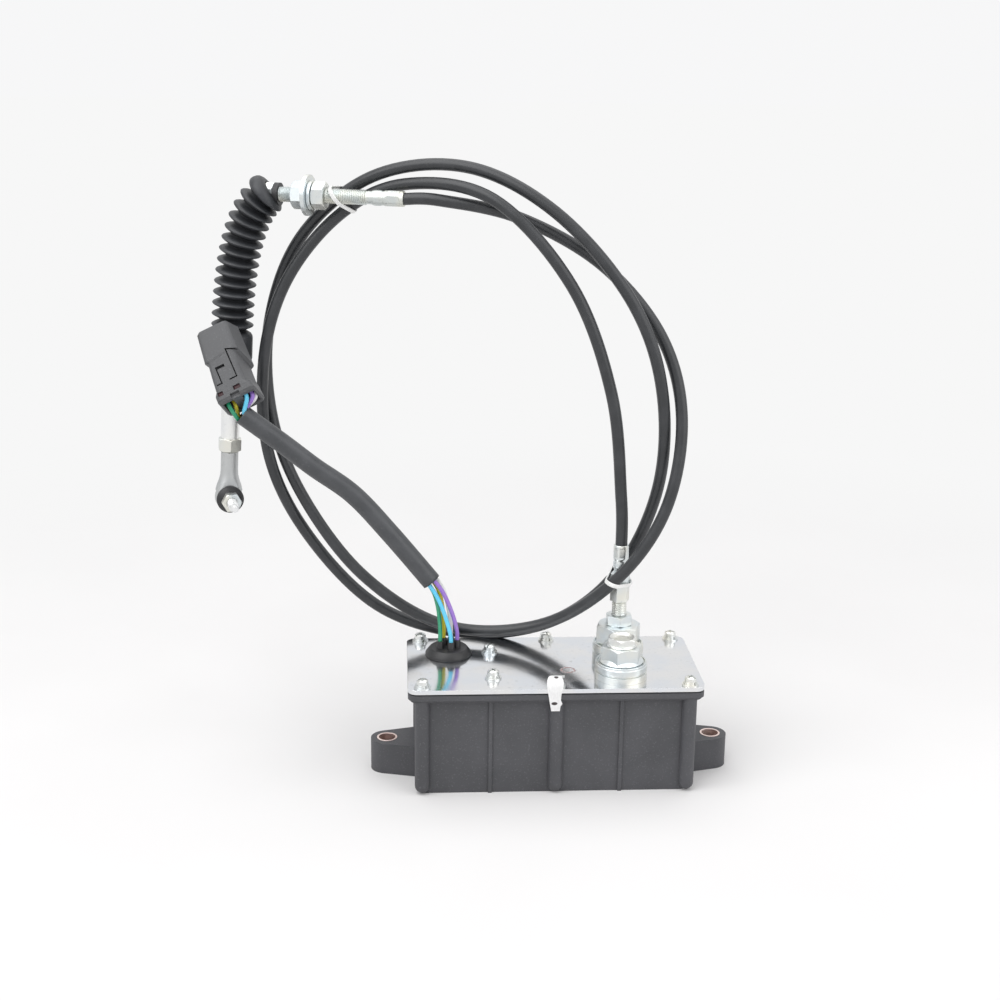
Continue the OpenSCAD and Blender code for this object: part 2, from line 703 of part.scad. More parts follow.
// Outer rings: folds along the bend, then the plain cuff; inner rings run back up the bore
fold_steps = 4;
fold_form = [0, 0.55, 1, 0.55];
outer_count = folds * fold_steps;
function boot_ring_at_t(t, r) =
    ring(bend(boot_path, t), bend_heading(boot_path, t), boot_side_ref, r, boot_sides);
function cuff_ring(s, r) = ring(cuff_at + rod_dir * s, rod_dir, boot_side_ref, r, boot_sides);
function fold_r(i) = (boot_root_d + (boot_d - boot_root_d) * fold_form[(i + 2) % fold_steps]) / 2;

module boot() color([0.06, 0.06, 0.06]) {
    cuff_r = cuff_d / 2;
    inner_steps = 12;
    rings = concat(
        [boot_ring_at_t(0, boot_root_d / 2)],
        [for (i = [1 : outer_count - 1]) boot_ring_at_t(i / outer_count, fold_r(i))],
        [cuff_ring(0, boot_root_d / 2), cuff_ring(2, cuff_r - 1.4), cuff_ring(3.4, cuff_r)],
        [cuff_ring(cuff_len - 1, cuff_r), cuff_ring(cuff_len, cuff_r - 1), cuff_ring(cuff_len, boot_bore_r)],
        [cuff_ring(0, boot_bore_r)],
        [for (i = [inner_steps - 1 : -1 : 0]) boot_ring_at_t(i / inner_steps, boot_bore_r)]
    );
    count = len(rings);
    last = (count - 1) * boot_sides;
    closing = flat([
        for (k = [0 : boot_sides - 1])
            let (k2 = (k + 1) % boot_sides)
            [[last + k, last + k2, k2], [last + k, k2, k]]
    ]);
    polyhedron(flat(rings), concat(skin(count, boot_sides), closing));
}

module end_rod() color([0.84, 0.85, 0.86]) on_rod(-rod_inside) {
    cylinder(d = rod_d, h = rod_inside + rod_len);
    translate([0, 0, rod_inside + rod_len - 0.1]) cylinder(d = stud_d, h = jam_nut_h + 10);
}

module jam_nut() color([0.82, 0.83, 0.84]) on_rod(rod_len + fit) difference() {
    rotate(20) hex_chamfered(jam_nut_af, jam_nut_h);
    translate([0, 0, -1]) cylinder(d = stud_d + 2 * fit, h = jam_nut_h + 2);
}

// Rod end: a threaded shank that flares into the ball's socket
module rod_end() color([0.55, 0.56, 0.57]) difference() {
    union() {
        on_rod(rod_len + jam_nut_h + 2 * fit) rotate_extrude() polygon([
            [0, 0], [shank_d / 2 - 0.6, 0], [shank_d / 2, 0.6], [shank_d / 2, shank_l], [0, shank_l]
        ]);
        // Flanks that widen from the shank to the head
        on_stud(1 - rod_end_t / 2) linear_extrude(rod_end_t - 2) rotate(-rod_tilt) polygon([
            [-rod_end_d / 2 + 0.4, 1.5], [rod_end_d / 2 - 0.4, 1.5], [shank_d / 2 - 0.2, shank_l / 2 + 3],
            [-shank_d / 2 + 0.2, shank_l / 2 + 3]
        ]);
        on_stud(-rod_end_t / 2) rotate_extrude() polygon([
            [0, 0], [rod_end_d / 2 - 1.5, 0], [rod_end_d / 2, 1.5], [rod_end_d / 2, rod_end_t - 1],
            [rod_end_d / 2 - 1, rod_end_t], [0, rod_end_t]
        ]);
    }
    translate(ball_at) sphere(d = ball_d + 2 * run);
    on_stud(0) cylinder(d = ball_d - 1.4, h = rod_end_t);
    on_rod(rod_len + jam_nut_h - 1) cylinder(d = stud_d + 2 * fit, h = 12);
}

module dust_seal() color([0.07, 0.07, 0.07]) on_stud(rod_end_t / 2) rotate_extrude() polygon([
    [stud_d / 2 + gap, 0.1], [rod_end_d / 2 - 0.2, 0.1], [rod_end_d / 2 - 0.2, seal_t * 0.4],
    [rod_end_d / 2 - 1.4, seal_t * 0.7], [stud_d / 2 + 1.6, seal_t], [stud_d / 2 + gap, seal_t]
]);

stud_shoulder = rod_end_t / 2 + seal_t + gap;

// Ball and stud, with a thread runout past the nut and a slim tip
module ball_stud() color([0.83, 0.84, 0.85]) {
    nut_face = stud_shoulder + stud_nut_h;
    translate(ball_at) sphere(d = ball_d);
    on_stud(0) rotate_extrude() polygon([
        [0, 0], [stud_d / 2, 0], [stud_d / 2, nut_face], [stud_d / 2 - 0.4, nut_face + 0.2],
        [stud_d / 2 - 0.4, nut_face + 0.8], [stud_d / 2, nut_face + 1],
        [stud_d / 2, stud_len - 5], [stud_d / 2 - 0.9, stud_len - 4.4],
        [stud_d / 2 - 0.9, stud_len - 1], [stud_d / 2 - 1.4, stud_len], [0, stud_len]
    ]);
}

module stud_nut() color([0.82, 0.83, 0.84]) on_stud(stud_shoulder) difference() {
    hex_chamfered(stud_nut_af, stud_nut_h);
    translate([0, 0, -1]) cylinder(d = stud_d + 2 * fit, h = stud_nut_h + 2);
}

// A nylon tie: a band round the circles given as [place, radius]
tie_w = 3;
tie_t = 1.1;
module tie_band(circles) linear_extrude(tie_w) difference() {
    hull() for (c = circles) translate(c[0]) circle(c[1] + tie_t, $fn = 32);
    hull() for (c = circles) translate(c[0]) circle(c[1], $fn = 32);
}

// Lower tie: round the entry's hexagon and the two strands that rise past it, each after the point i
tie_lower_z = entry_hex_low + 8.6;
tie_middle_z = tie_lower_z + tie_w / 2;
function strand_at_height(i) =
    let (a = cable_route[i], b = cable_route[i + 1], p = a + (b - a) * (tie_middle_z - a[2]) / (b[2] - a[2]))
    [p[0], p[1]];
lower_room = cable_d / 2 + 3.3;

module tie_lower() color([0.93, 0.93, 0.92]) translate([0, 0, tie_lower_z]) tie_band([
    [[rear_x, rear_y], entry_hex_af / 2 / cos(30) + gap],
    [strand_at_height(55), lower_room],
    [strand_at_height(27), lower_room]
]);

// Upper tie: round the bulkhead tube and the two strands that pass below it
tie_upper_at = 38;
tie_upper_mid = tie_upper_at + tie_w / 2;
upper_room = cable_d / 2 + 2.7;
function strand_on_fitting(i) =
    let (
        a = cable_route[i] - fitting_at, b = cable_route[i + 1] - fitting_at,
        p = a + (b - a) * (tie_upper_mid - a * fitting_dir) / ((b - a) * fitting_dir)
    )
    [-p[2], p * boot_side_ref];

module tie_upper() color([0.93, 0.93, 0.92]) on_fitting(tie_upper_at) tie_band([
    [[0, 0], thread_d / 2 + gap],
    [strand_on_fitting(11), upper_room],
    [strand_on_fitting(40), upper_room]
]);

// Lower stretch of a wire: out of its stub, bowing out, into the sleeve's end
function wire_low(i) =
    let (
        t = heading(sleeve_route, 0), u = unit(cross(t, sleeve_ref)), v = cross(u, t),
        a = [grommet_x + stub_places[i][0], grommet_y + stub_places[i][1], wire_start_z + wire_gap],
        b = sleeve_route[0] + wire_ring_low[i][0] * u + wire_ring_low[i][1] * v - t * wire_gap,
        a2 = a + [0, 0, wire_straight],
        b2 = b - t * wire_straight,
        path = [a2, a2 + [0, 0, 8] + wire_bow[i] * 0.5, b2 - t * 9 + wire_bow[i] * 0.5, b2]
    )
    concat([a], [for (s = [0 : 7]) bend(path, s / 7)], [b]);

// Upper stretch of a wire: out of the sleeve's top, into its opening in the connector
function in_connector_frame(p) =
    let (
        a = connector_turn[0], b = connector_turn[1],
        q = [p[0], p[1] * cos(a) - p[2] * sin(a), p[1] * sin(a) + p[2] * cos(a)]
    )
    connector_at + [q[0] * cos(b) + q[2] * sin(b), q[1], -q[0] * sin(b) + q[2] * cos(b)];
function wire_high(i) =
    let (
        n = len(sleeve_route) - 1,
        t = heading(sleeve_route, n), u = unit(cross(t, sleeve_ref)), v = cross(u, t),
        a = sleeve_route[n] + wire_ring_high[i][0] * u + wire_ring_high[i][1] * v + t * wire_gap,
        a2 = a + t * wire_straight,
        b = in_connector_frame([wire_holes[i][0], wire_holes[i][1], wire_end_low + lobe_depth - wire_gap]),
        d = in_connector_frame([wire_holes[i][0], wire_holes[i][1], wire_end_low]),
        path = [a2, a2 + t * 2.5, d + (d - b) * 0.3, d]
    )
    concat([a], [for (s = [0 : 6]) bend(path, s / 6)], [b]);

module wire(i) {
    tube(wire_low(i), wire_d, wire_sides, sleeve_ref);
    tube(wire_high(i), wire_d, wire_sides, sleeve_ref);
}

module wire_green() color([0.05, 0.5, 0.32]) wire(0);
module wire_yellow() color([0.75, 0.68, 0.1]) wire(1);
module wire_blue() color([0.3, 0.75, 0.9]) wire(2);
module wire_white() color([0.92, 0.92, 0.92]) wire(3);
module wire_purple() color([0.5, 0.32, 0.7]) wire(4);

module harness_sleeve() color([0.2, 0.2, 0.21])
    tube(sleeve_route, sleeve_d, 12, sleeve_ref);

// Connector: flared wire end with two openings, slim middle and a hood with a tongue inside
module connector_body() color([0.36, 0.37, 0.38]) in_connector() difference() {
    union() {
        slab(wire_end_w, wire_end_t, corner_r, wire_end_low, wire_end_low + wire_end_h);
        slab(neck_w, neck_t, corner_r, wire_end_low + wire_end_h - 0.1, hood_low + 0.1);
        slab(hood_w, hood_t, corner_r, hood_low, hood_low + hood_len);
    }
    for (s = [-1, 1]) translate([s * lobe_x, 0, wire_end_low - 1])
        linear_extrude(lobe_depth + 1) rounded_rect(2 * lobe_r, 2 * lobe_r + 1, lobe_r - 0.5);
    // Space round the tongue at the mating end
    translate([0, 0, hood_low + hood_len - hood_depth]) linear_extrude(hood_depth + 1) difference() {
        rounded_rect(hood_w - 2 * hood_wall, hood_t - 2 * hood_wall, 1);
        rounded_rect(tongue_w, tongue_t, 0.6);
    }
    for (s = [-1, 1]) translate([s * lobe_x - window_w / 2, -wire_end_t / 2 - 1, wire_end_low + window_z])
        cube([window_w, 3, window_h]);
    latch_grooves();
}

// Slots that part the latches from the front face
module latch_grooves() translate([0, -neck_t / 2, 0]) {
    for (x = [-5.5, 2.5]) translate([x, -1, 8]) cube([groove_w_latch, 1 + groove_t, 13]);
    for (p = [[-5.5, 20], [-5.5, 8], [2.5, 8]])
        translate([p[0], -1, p[1]]) cube([4, 1 + groove_t, groove_w_latch]);
}

module connector_retainer() color([0.3, 0.08, 0.1]) in_connector()
    for (s = [-1, 1])
        translate([s * lobe_x - window_w / 2 + fit, -wire_end_t / 2 + 0.9, wire_end_low + window_z + fit])
        cube([window_w - 2 * fit, 1.1 - fit, window_h - 2 * fit]);

module motor_can() color([0.6, 0.61, 0.63]) along_x(motor_yz[0], motor_yz[1])
    translate([0, 0, web_x]) difference() {
    translate([0, 0, -motor_l]) rotate_extrude() polygon([
        [0, 0], [motor_d / 2 - 2, 0], [motor_d / 2, 2], [motor_d / 2, motor_l], [0, motor_l]
    ]);
    translate([0, 0, -shaft_in_can]) cylinder(d = motor_shaft_d + 2 * run, h = shaft_in_can + 1);
}

module motor_shaft() color([0.75, 0.75, 0.76]) {
    along_x(motor_yz[0], motor_yz[1]) translate([0, 0, web_x - shaft_in_can + gap])
        cylinder(d = motor_shaft_d, h = pinion_2_x - web_x + shaft_in_can - gap);
    gear(module_1, pinion_teeth, face_1 + 1, motor_shaft_d - 1, gear_1_x - 0.5, motor_yz,
        motor_angle - 180 - 180 / pinion_teeth);
}

// Bracket hung under the cover plate: a flange for the two screws and a web that carries motor and shafts
module motor_bracket() color([0.66, 0.67, 0.68]) difference() {
    bracket_low = floor_t + 4;
    bracket_depth = 13;
    bracket_half = inner_side_y - 2;
    union() {
        translate([web_x - bracket_depth, -bracket_half, plate_low - web_t])
            cube([bracket_depth + web_t, 2 * bracket_half, web_t]);
        translate([web_x, -bracket_half, bracket_low]) cube([web_t, 2 * bracket_half, plate_low - bracket_low]);
    }
    for (p = bracket_screws) translate([p[0], p[1], plate_low - web_t - 1])
        cylinder(d = screw_hole_d, h = web_t + 2);
    // Holes in the web as [place, diameter]
    for (hole = [
        [motor_yz, motor_shaft_d + 2],
        [idler_yz, idler_bore_d + 2 * fit],
        [[shaft_y, shaft_z], bearing_d + 2 * fit]
    ])
        along_x(hole[0][0], hole[0][1]) translate([0, 0, web_x - 1]) cylinder(d = hole[1], h = web_t + 2);
}

module idler_pin() color([0.7, 0.7, 0.72]) along_x(idler_yz[0], idler_yz[1]) {
    translate([0, 0, web_x]) cylinder(d = idler_bore_d, h = idler_pin_end - web_x);
    translate([0, 0, idler_pin_end - 1]) cylinder(d = idler_bore_d + 3, h = 1);
}

module idler_gear() color([0.88, 0.86, 0.78]) {
    bore = idler_bore_d + 2 * run;
    gear(module_1, gear_teeth, face_1, bore, gear_1_x, idler_yz, motor_angle);
    gear(module_2, pinion_teeth, pinion_2_l, bore, pinion_2_x, idler_yz,
        idler_angle + 180 - 180 / pinion_teeth);
}

module output_shaft() color([0.74, 0.74, 0.76]) along_x(shaft_y, shaft_z) {
    translate([0, 0, web_x]) cylinder(d = shaft_d, h = sensor_x - 1 - web_x);
    translate([0, 0, sensor_x - 1.1]) cylinder(d = sensor_bore_d, h = sensor_stub + 1.1);
}

module output_gear() color([0.88, 0.86, 0.78]) {
    gear(module_2, gear_teeth, face_2, shaft_d + 2 * fit, gear_2_x, [shaft_y, shaft_z], idler_angle);
    along_x(shaft_y, shaft_z) translate([0, 0, gear_2_x + face_2 - 0.1]) difference() {
        cylinder(d = shaft_d + 2 * hub_wall, h = hub_l);
        translate([0, 0, -1]) cylinder(d = shaft_d + 2 * fit, h = hub_l + 2);
    }
}

// Drum that winds the core wire in its groove
module cable_drum() color([0.7, 0.71, 0.72]) along_x(shaft_y, shaft_z) translate([0, 0, rear_x])
    rotate_extrude() polygon([
        [shaft_d / 2 + fit, -drum_w / 2], [drum_flange_r - 0.5, -drum_w / 2],
        [drum_flange_r, -drum_w / 2 + 0.5], [drum_flange_r, -groove_w / 2],
        [drum_r - core_d / 2 - run, -groove_w / 2], [drum_r - core_d / 2 - run, groove_w / 2],
        [drum_flange_r, groove_w / 2], [drum_flange_r, drum_w / 2 - 0.5], [drum_flange_r - 0.5, drum_w / 2],
        [shaft_d / 2 + fit, drum_w / 2]
    ]);

module shaft_bushes() color([0.72, 0.58, 0.3]) for (x = [web_x, pier_x])
    along_x(shaft_y, shaft_z) translate([0, 0, x]) difference() {
        union() {
            cylinder(d = bearing_d, h = x == web_x ? web_t : pier_t);
            translate([0, 0, x == web_x ? web_t : -bearing_lip]) cylinder(d = bearing_d + 3, h = bearing_lip);
        }
        translate([0, 0, -2]) cylinder(d = shaft_d + 2 * run, h = web_t + pier_t);
    }

module feedback_sensor() color([0.2, 0.24, 0.3]) along_x(shaft_y, shaft_z)
    translate([0, 0, sensor_x]) difference() {
    union() {
        cylinder(d = sensor_d, h = sensor_l);
        translate([0, -sensor_d / 2, sensor_l - 4]) cube([sensor_d / 2 + 3, sensor_d, 4]);
    }
    translate([0, 0, -1]) cylinder(d = sensor_bore_d + 2 * run, h = sensor_stub + 1 + gap);
}

module core_wire() color([0.7, 0.7, 0.72]) translate([rear_x, rear_y, core_low])
    cylinder(d = core_d, h = core_high - core_low);

housing();
ear_bushes();
cover_gasket();
cover_plate();
cover_screws();
spring_washers();
flat_washers();
wire_grommet();
outlet_collars();
outlet_nuts();
front_union();
blanking_screw();
rear_union();
rear_lock_nut();
conduit_entry();
control_cable();
bulkhead_tube();
bulkhead_nuts();
bulkhead_washers();
boot_ring();
boot_nut();
boot();
end_rod();
jam_nut();
rod_end();
dust_seal();
ball_stud();
stud_nut();
tie_lower();
tie_upper();
wire_green();
wire_yellow();
wire_blue();
wire_white();
wire_purple();
harness_sleeve();
connector_body();
connector_retainer();
motor_can();
motor_shaft();
motor_bracket();
idler_pin();
idler_gear();
output_shaft();
output_gear();
cable_drum();
shaft_bushes();
feedback_sensor();
core_wire();
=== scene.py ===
"""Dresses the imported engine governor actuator: camera, cords, rubber, threads, plug, looks and studio."""
import math

import bmesh
import bpy
from mathutils import Matrix, Vector
from mathutils.geometry import convex_hull_2d


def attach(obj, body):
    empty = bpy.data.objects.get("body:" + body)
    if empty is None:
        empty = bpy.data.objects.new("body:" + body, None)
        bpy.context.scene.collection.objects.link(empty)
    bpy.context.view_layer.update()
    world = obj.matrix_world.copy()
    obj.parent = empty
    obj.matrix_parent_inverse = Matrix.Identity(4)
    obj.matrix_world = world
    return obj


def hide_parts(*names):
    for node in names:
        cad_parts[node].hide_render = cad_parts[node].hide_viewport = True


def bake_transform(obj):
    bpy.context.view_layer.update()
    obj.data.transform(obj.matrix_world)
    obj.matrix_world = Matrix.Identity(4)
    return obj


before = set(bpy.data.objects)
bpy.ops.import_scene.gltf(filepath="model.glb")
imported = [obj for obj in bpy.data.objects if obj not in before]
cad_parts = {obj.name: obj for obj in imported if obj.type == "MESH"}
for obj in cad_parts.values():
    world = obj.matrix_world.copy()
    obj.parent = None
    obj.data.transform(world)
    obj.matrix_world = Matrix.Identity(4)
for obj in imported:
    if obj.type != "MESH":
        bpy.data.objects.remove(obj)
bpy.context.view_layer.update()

MM = 0.001
scene = bpy.context.scene
scene.view_settings.view_transform = "Standard"


# Places of the fittings in millimetres and degrees, as in the part's source
def turned(at, *turns):
    """A place in millimetres, with turns in degrees about the named axes, first one first."""
    place = Matrix()
    for axis, degrees in turns:
        place = Matrix.Rotation(math.radians(degrees), 4, axis) @ place
    return Matrix.Translation(Vector(at) * MM) @ place


COVER_TOP = 60
CABLE_ACROSS = 6.4
SLEEVE_ACROSS = 10.8
WIRE_ACROSS = 2.3
FITTING_TURN = 163
FITTING_AT = Vector((-78, 44, 302))
FITTING_WAY = Vector((math.cos(math.radians(FITTING_TURN)), math.sin(math.radians(FITTING_TURN)), 0))
ROD_LEAN = 3
ROD_WAY = Vector((-math.sin(math.radians(ROD_LEAN)), 0, -math.cos(math.radians(ROD_LEAN))))
CUFF_AT = Vector((-172, 72, 228))
CUFF_LENGTH = 17
ROD_AT = CUFF_AT + ROD_WAY * CUFF_LENGTH
BALL_DOWN = 78
BALL_RADIUS = 5
BALL_AT = ROD_AT + ROD_WAY * BALL_DOWN
STUD_TURN = 13
ON_STUD = turned(BALL_AT, ("X", 90), ("Z", STUD_TURN))
REAR_OUTLET_AT = Vector((37, 8, 0))
REAR_OUTLET = turned(REAR_OUTLET_AT)
FRONT_OUTLET = turned((35, -20, 0))
GROMMET_AT = (-55, 14)
GROMMET = turned((*GROMMET_AT, 0))
MARK_AT = (7.9, -11.4)
PLUG = turned((-165, 32, 199), ("X", -28), ("Y", -26))


def on_fitting(along):
    """A place along the bulkhead fitting, with Z along it."""
    return turned(FITTING_AT + FITTING_WAY * along, ("Y", 90), ("Z", FITTING_TURN))


# Camera
def photo_camera():
    """The camera as solved from the photo, in millimetres and degrees."""
    stands_at = Vector((-83.94, -816.95, 389.64))
    yaw, pitch, roll = (math.radians(degrees) for degrees in (-3.85, 16.23, 0.84))
    aim = Matrix.Rotation(roll, 3, "Y") @ Matrix.Rotation(pitch, 3, "X") @ Matrix.Rotation(-yaw, 3, "Z")
    turn = aim.transposed() @ Matrix.Rotation(math.radians(90), 3, "X")
    lens = bpy.data.cameras.new("photo_camera")
    lens.lens = 58.73
    lens.sensor_width = 36
    lens.clip_start = 0.01
    camera = bpy.data.objects.new("photo_camera", lens)
    camera.matrix_world = Matrix.Translation(stands_at * MM) @ turn.to_4x4()
    scene.collection.objects.link(camera)
    scene.camera = camera


photo_camera()


# Finishes
class Wire:
    """A socket in a finish. Sums on wires add Math nodes, and node() adds any other node."""

    def __init__(self, tree, socket=None):
        self.tree, self.socket = tree, socket

    def node(self, kind, sockets, out=0, **settings):
        made = self.tree.nodes.new("ShaderNode" + kind)
        for name, value in settings.items():
            setattr(made, name, value)
        for name, value in sockets.items():
            if isinstance(value, Wire):
                self.tree.links.new(value.socket, made.inputs[name])
            else:
                made.inputs[name].default_value = value
        return Wire(self.tree, made.outputs[out])

    def sum(self, operation, first, second):
        return self.node("Math", {0: first, 1: second}, operation=operation)

    def __add__(self, other):
        return self.sum("ADD", self, other)

    def __sub__(self, other):
        return self.sum("SUBTRACT", self, other)

    def __rsub__(self, other):
        return self.sum("SUBTRACT", other, self)

    def __mul__(self, other):
        return self.sum("MULTIPLY", self, other)

    __radd__ = __add__


def finish(name, **fixed):
    """A new material with fixed values on its surface, and a wire of Object coordinates in it."""
    made = bpy.data.materials.new(name)
    made.use_nodes = True
    surface = made.node_tree.nodes["Principled BSDF"]
    for socket, value in fixed.items():
        surface.inputs[socket.replace("_", " ")].default_value = value
    return made, Wire(made.node_tree).node("TexCoord", {}, out="Object")


def feed(made, **wires):
    """Leads wires into a material's surface."""
    surface = made.node_tree.nodes["Principled BSDF"]
    for socket, wire in wires.items():
        made.node_tree.links.new(wire.socket, surface.inputs[socket.replace("_", " ")])
    return made


def clouds(at, scale, detail=3.0, stretch=(1, 1, 1)):
    """Noise from nought to one, finer with a greater scale and drawn out along an axis stretched less."""
    place = at.node("Mapping", {"Vector": at, "Scale": stretch})
    return at.node("TexNoise", {"Vector": place, "Scale": scale, "Detail": detail})


def band(value, low, high):
    """Nought below the low value, one above the high value, and a soft step between."""
    sockets = {"Value": value, "From Min": low, "From Max": high}
    return value.node("MapRange", sockets, interpolation_type="SMOOTHSTEP")


def tinted(share, first, second):
    """A colour between two colours or colour wires."""
    pair = [c if isinstance(c, Wire) else (*c, 1) for c in (first, second)]
    return share.node("Mix", {0: share, 6: pair[0], 7: pair[1]}, out=2, data_type="RGBA")


def shaded(colour, share, lift=0.0):
    """A darker or paler shade of a colour."""
    return tuple(min(1, share * c + lift) for c in colour)


def relief(height, depth, edge=None):
    """A bump of that depth in millimetres, over edges rounded by that many millimetres."""
    sockets = {"Height": height, "Distance": depth * MM, "Strength": 1.0}
    if edge:
        sockets["Normal"] = height.node("Bevel", {"Radius": edge * MM}, samples=4)
    return height.node("Bump", sockets)


def moulded(name, dark, light, rough, grain, depth, edge):
    """Moulded plastic: clouded colour, pale handling scuffs, dust and a fine grain."""
    made, at = finish(name, IOR=1.5)
    cloud = band(clouds(at, 40, 4), 0.3, 0.7)
    scuff = band(clouds(at, 220, 5, (1, 1, 0.3)), 0.66, 0.78)
    dust = band(clouds(at, 1100, 3), 0.58, 0.7)
    pale = shaded(light, 2.2, lift=0.02)
    return feed(
        made,
        Base_Color=tinted(scuff * 0.3 + dust * 0.24, tinted(cloud, dark, light), pale),
        Roughness=rough + cloud * 0.08 - scuff * 0.06,
        Normal=relief(clouds(at, grain, 2), depth, edge),
    )


def plated(name, cool, warm, rough, grain, stretch, depth, edge):
    """Zinc plating or bright steel: cool and warm passivation tints, drawn grain and small dull spots."""
    made, at = finish(name, Metallic=1.0)
    cloud = band(clouds(at, 55, 3), 0.35, 0.68)
    lines = clouds(at, grain, 3, stretch)
    dull = band(clouds(at, 420, 4), 0.6, 0.75)
    return feed(
        made,
        Base_Color=tinted(dull * 0.25, tinted(cloud, cool, warm), shaded(cool, 0.6)),
        Roughness=rough + cloud * 0.06 + lines * 0.08 + dull * 0.1,
        Normal=relief(lines, depth, edge),
    )


def rubbery(name, dark, bloom, rough, depth, painted_fold_shade=False):
    """Black rubber or vinyl with a grey bloom and an uneven skin. Folds get painted shade, darker towards
    their bottom.
    """
    made, at = finish(name, IOR=1.5)
    cloud = band(clouds(at, 90, 4), 0.35, 0.75)
    specks = band(clouds(at, 700, 3), 0.62, 0.72)
    colour = tinted(specks * 0.2, tinted(cloud, dark, bloom), shaded(bloom, 1.6, lift=0.02))
    if painted_fold_shade:
        # Painted shade: the colour darkens from each fold's crest down into its valley, where shade falls
        crest = at.node("Attribute", {}, out="Fac", attribute_name="fold")
        colour = tinted(band(crest, 0.15, 0.95), shaded(dark, 0.6), colour)
    return feed(
        made,
        Base_Color=colour,
        Roughness=rough + cloud * 0.1,
        Normal=relief(clouds(at, 900, 3) + clouds(at, 120, 2) * 2.0, depth),
    )


def insulation(name, colour):
    """Coloured wire insulation, a little paler where it was handled."""
    made, at = finish(name, IOR=1.48)
    cloud = band(clouds(at, 160, 3), 0.4, 0.7)
    return feed(
        made,
        Base_Color=tinted(cloud * 0.35, colour, shaded(colour, 0.85, lift=0.12)),
        Roughness=0.34 + cloud * 0.12,
        Normal=relief(clouds(at, 1400, 2), 0.01),
    )


def nylon(name):
    """Natural nylon of the ties: milky, with a faint grain."""
    made, at = finish(name, IOR=1.5)
    cloud = band(clouds(at, 130, 3), 0.35, 0.7)
    return feed(
        made,
        Base_Color=tinted(cloud, (0.80, 0.80, 0.79), (0.88, 0.88, 0.87)),
        Roughness=0.32 + cloud * 0.12,
        Normal=relief(clouds(at, 1100, 2), 0.02),
    )


def spot(at, middle, reach):
    """One inside an ellipsoid given by its middle and reach in millimetres, and nought outside."""
    scale = [1 / (r * MM) for r in reach]
    shift = [-m * MM * k for m, k in zip(middle, scale)]
    place = at.node("Mapping", {"Vector": at, "Scale": scale, "Location": shift})
    away = at.node("VectorMath", {0: place}, out="Value", operation="LENGTH")
    return 1 - band(away, 0.85, 1.1)


def paper(name):
    """White paper of the tag, with faint fibres and a dark oval at each end."""
    made, at = finish(name, IOR=1.45)
    fibres = clouds(at, 1500, 4, (1, 0.3, 0.3))
    upper_oval = spot(at, (-0.6, -33.4, 65), (1.2, 1.3, 3))
    lower_oval = spot(at, (-1.7, -38.3, 52.4), (1.6, 3, 0.9))
    white = tinted(band(fibres, 0.3, 0.7), (0.80, 0.80, 0.80), (0.88, 0.88, 0.88))
    return feed(
        made,
        Base_Color=tinted(upper_oval + lower_oval, white, (0.05, 0.04, 0.04)),
        Roughness=0.55 + fibres * 0.2,
        Normal=relief(fibres, 0.03),
    )


def clear_film(name):
    """Clear round film with a faint reddish ring near its rim."""
    made, at = finish(name, IOR=1.45)
    middle = (*MARK_AT, COVER_TOP)
    whole, inner = (spot(at, middle, (radius, radius, 5)) for radius in (4.1, 3.2))
    ring = (whole - inner) * band(clouds(at, 700, 2), 0.35, 0.6)
    return feed(
        made,
        Base_Color=tinted(ring, (0.75, 0.74, 0.74), (0.42, 0.12, 0.10)),
        Alpha=0.12 + ring * 0.45,
        Roughness=0.2 + clouds(at, 400, 3) * 0.15,
    )


EVEN = (1, 1, 1)
housing_black = moulded(
    "housing_black", dark=(0.060, 0.061, 0.067), light=(0.078, 0.079, 0.087),
    rough=0.5, grain=2600, depth=0.06, edge=0.45,
)
plug_grey = moulded(
    "plug_grey", dark=(0.078, 0.080, 0.084), light=(0.096, 0.098, 0.103),
    rough=0.46, grain=3200, depth=0.03, edge=0.2,
)
retainer_maroon = moulded(
    "retainer_maroon", dark=(0.030, 0.005, 0.008), light=(0.050, 0.009, 0.013),
    rough=0.45, grain=3000, depth=0.03, edge=0.1,
)
sensor_blue = moulded(
    "sensor_blue", dark=(0.03, 0.045, 0.08), light=(0.05, 0.065, 0.10),
    rough=0.5, grain=2600, depth=0.04, edge=0.3,
)
gear_ivory = moulded(
    "gear_ivory", dark=(0.68, 0.64, 0.52), light=(0.78, 0.75, 0.64),
    rough=0.42, grain=2400, depth=0.03, edge=0.15,
)
cover_zinc = plated(
    "cover_zinc", cool=(0.72, 0.745, 0.78), warm=(0.77, 0.77, 0.77),
    rough=0.07, grain=900, stretch=(0.05, 1, 1), depth=0.004, edge=0.3,
)
screw_zinc = plated(
    "screw_zinc", cool=(0.70, 0.73, 0.74), warm=(0.78, 0.77, 0.72),
    rough=0.25, grain=1500, stretch=EVEN, depth=0.008, edge=0.12,
)
fitting_zinc = plated(
    "fitting_zinc", cool=(0.66, 0.71, 0.73), warm=(0.76, 0.75, 0.69),
    rough=0.29, grain=1300, stretch=EVEN, depth=0.008, edge=0.35,
)
thread_zinc = plated(
    "thread_zinc", cool=(0.57, 0.61, 0.61), warm=(0.70, 0.69, 0.61),
    rough=0.36, grain=1300, stretch=EVEN, depth=0.004, edge=0.1,
)
rod_bright = plated(
    "rod_bright", cool=(0.80, 0.81, 0.82), warm=(0.86, 0.86, 0.84),
    rough=0.3, grain=1500, stretch=(1, 1, 0.06), depth=0.006, edge=0.3,
)
socket_grey = plated(
    "socket_grey", cool=(0.44, 0.46, 0.47), warm=(0.52, 0.53, 0.53),
    rough=0.36, grain=1500, stretch=EVEN, depth=0.015, edge=0.5,
)
steel_plain = plated(
    "steel_plain", cool=(0.50, 0.51, 0.53), warm=(0.58, 0.57, 0.55),
    rough=0.3, grain=1200, stretch=(0.1, 1, 1), depth=0.01, edge=0.3,
)
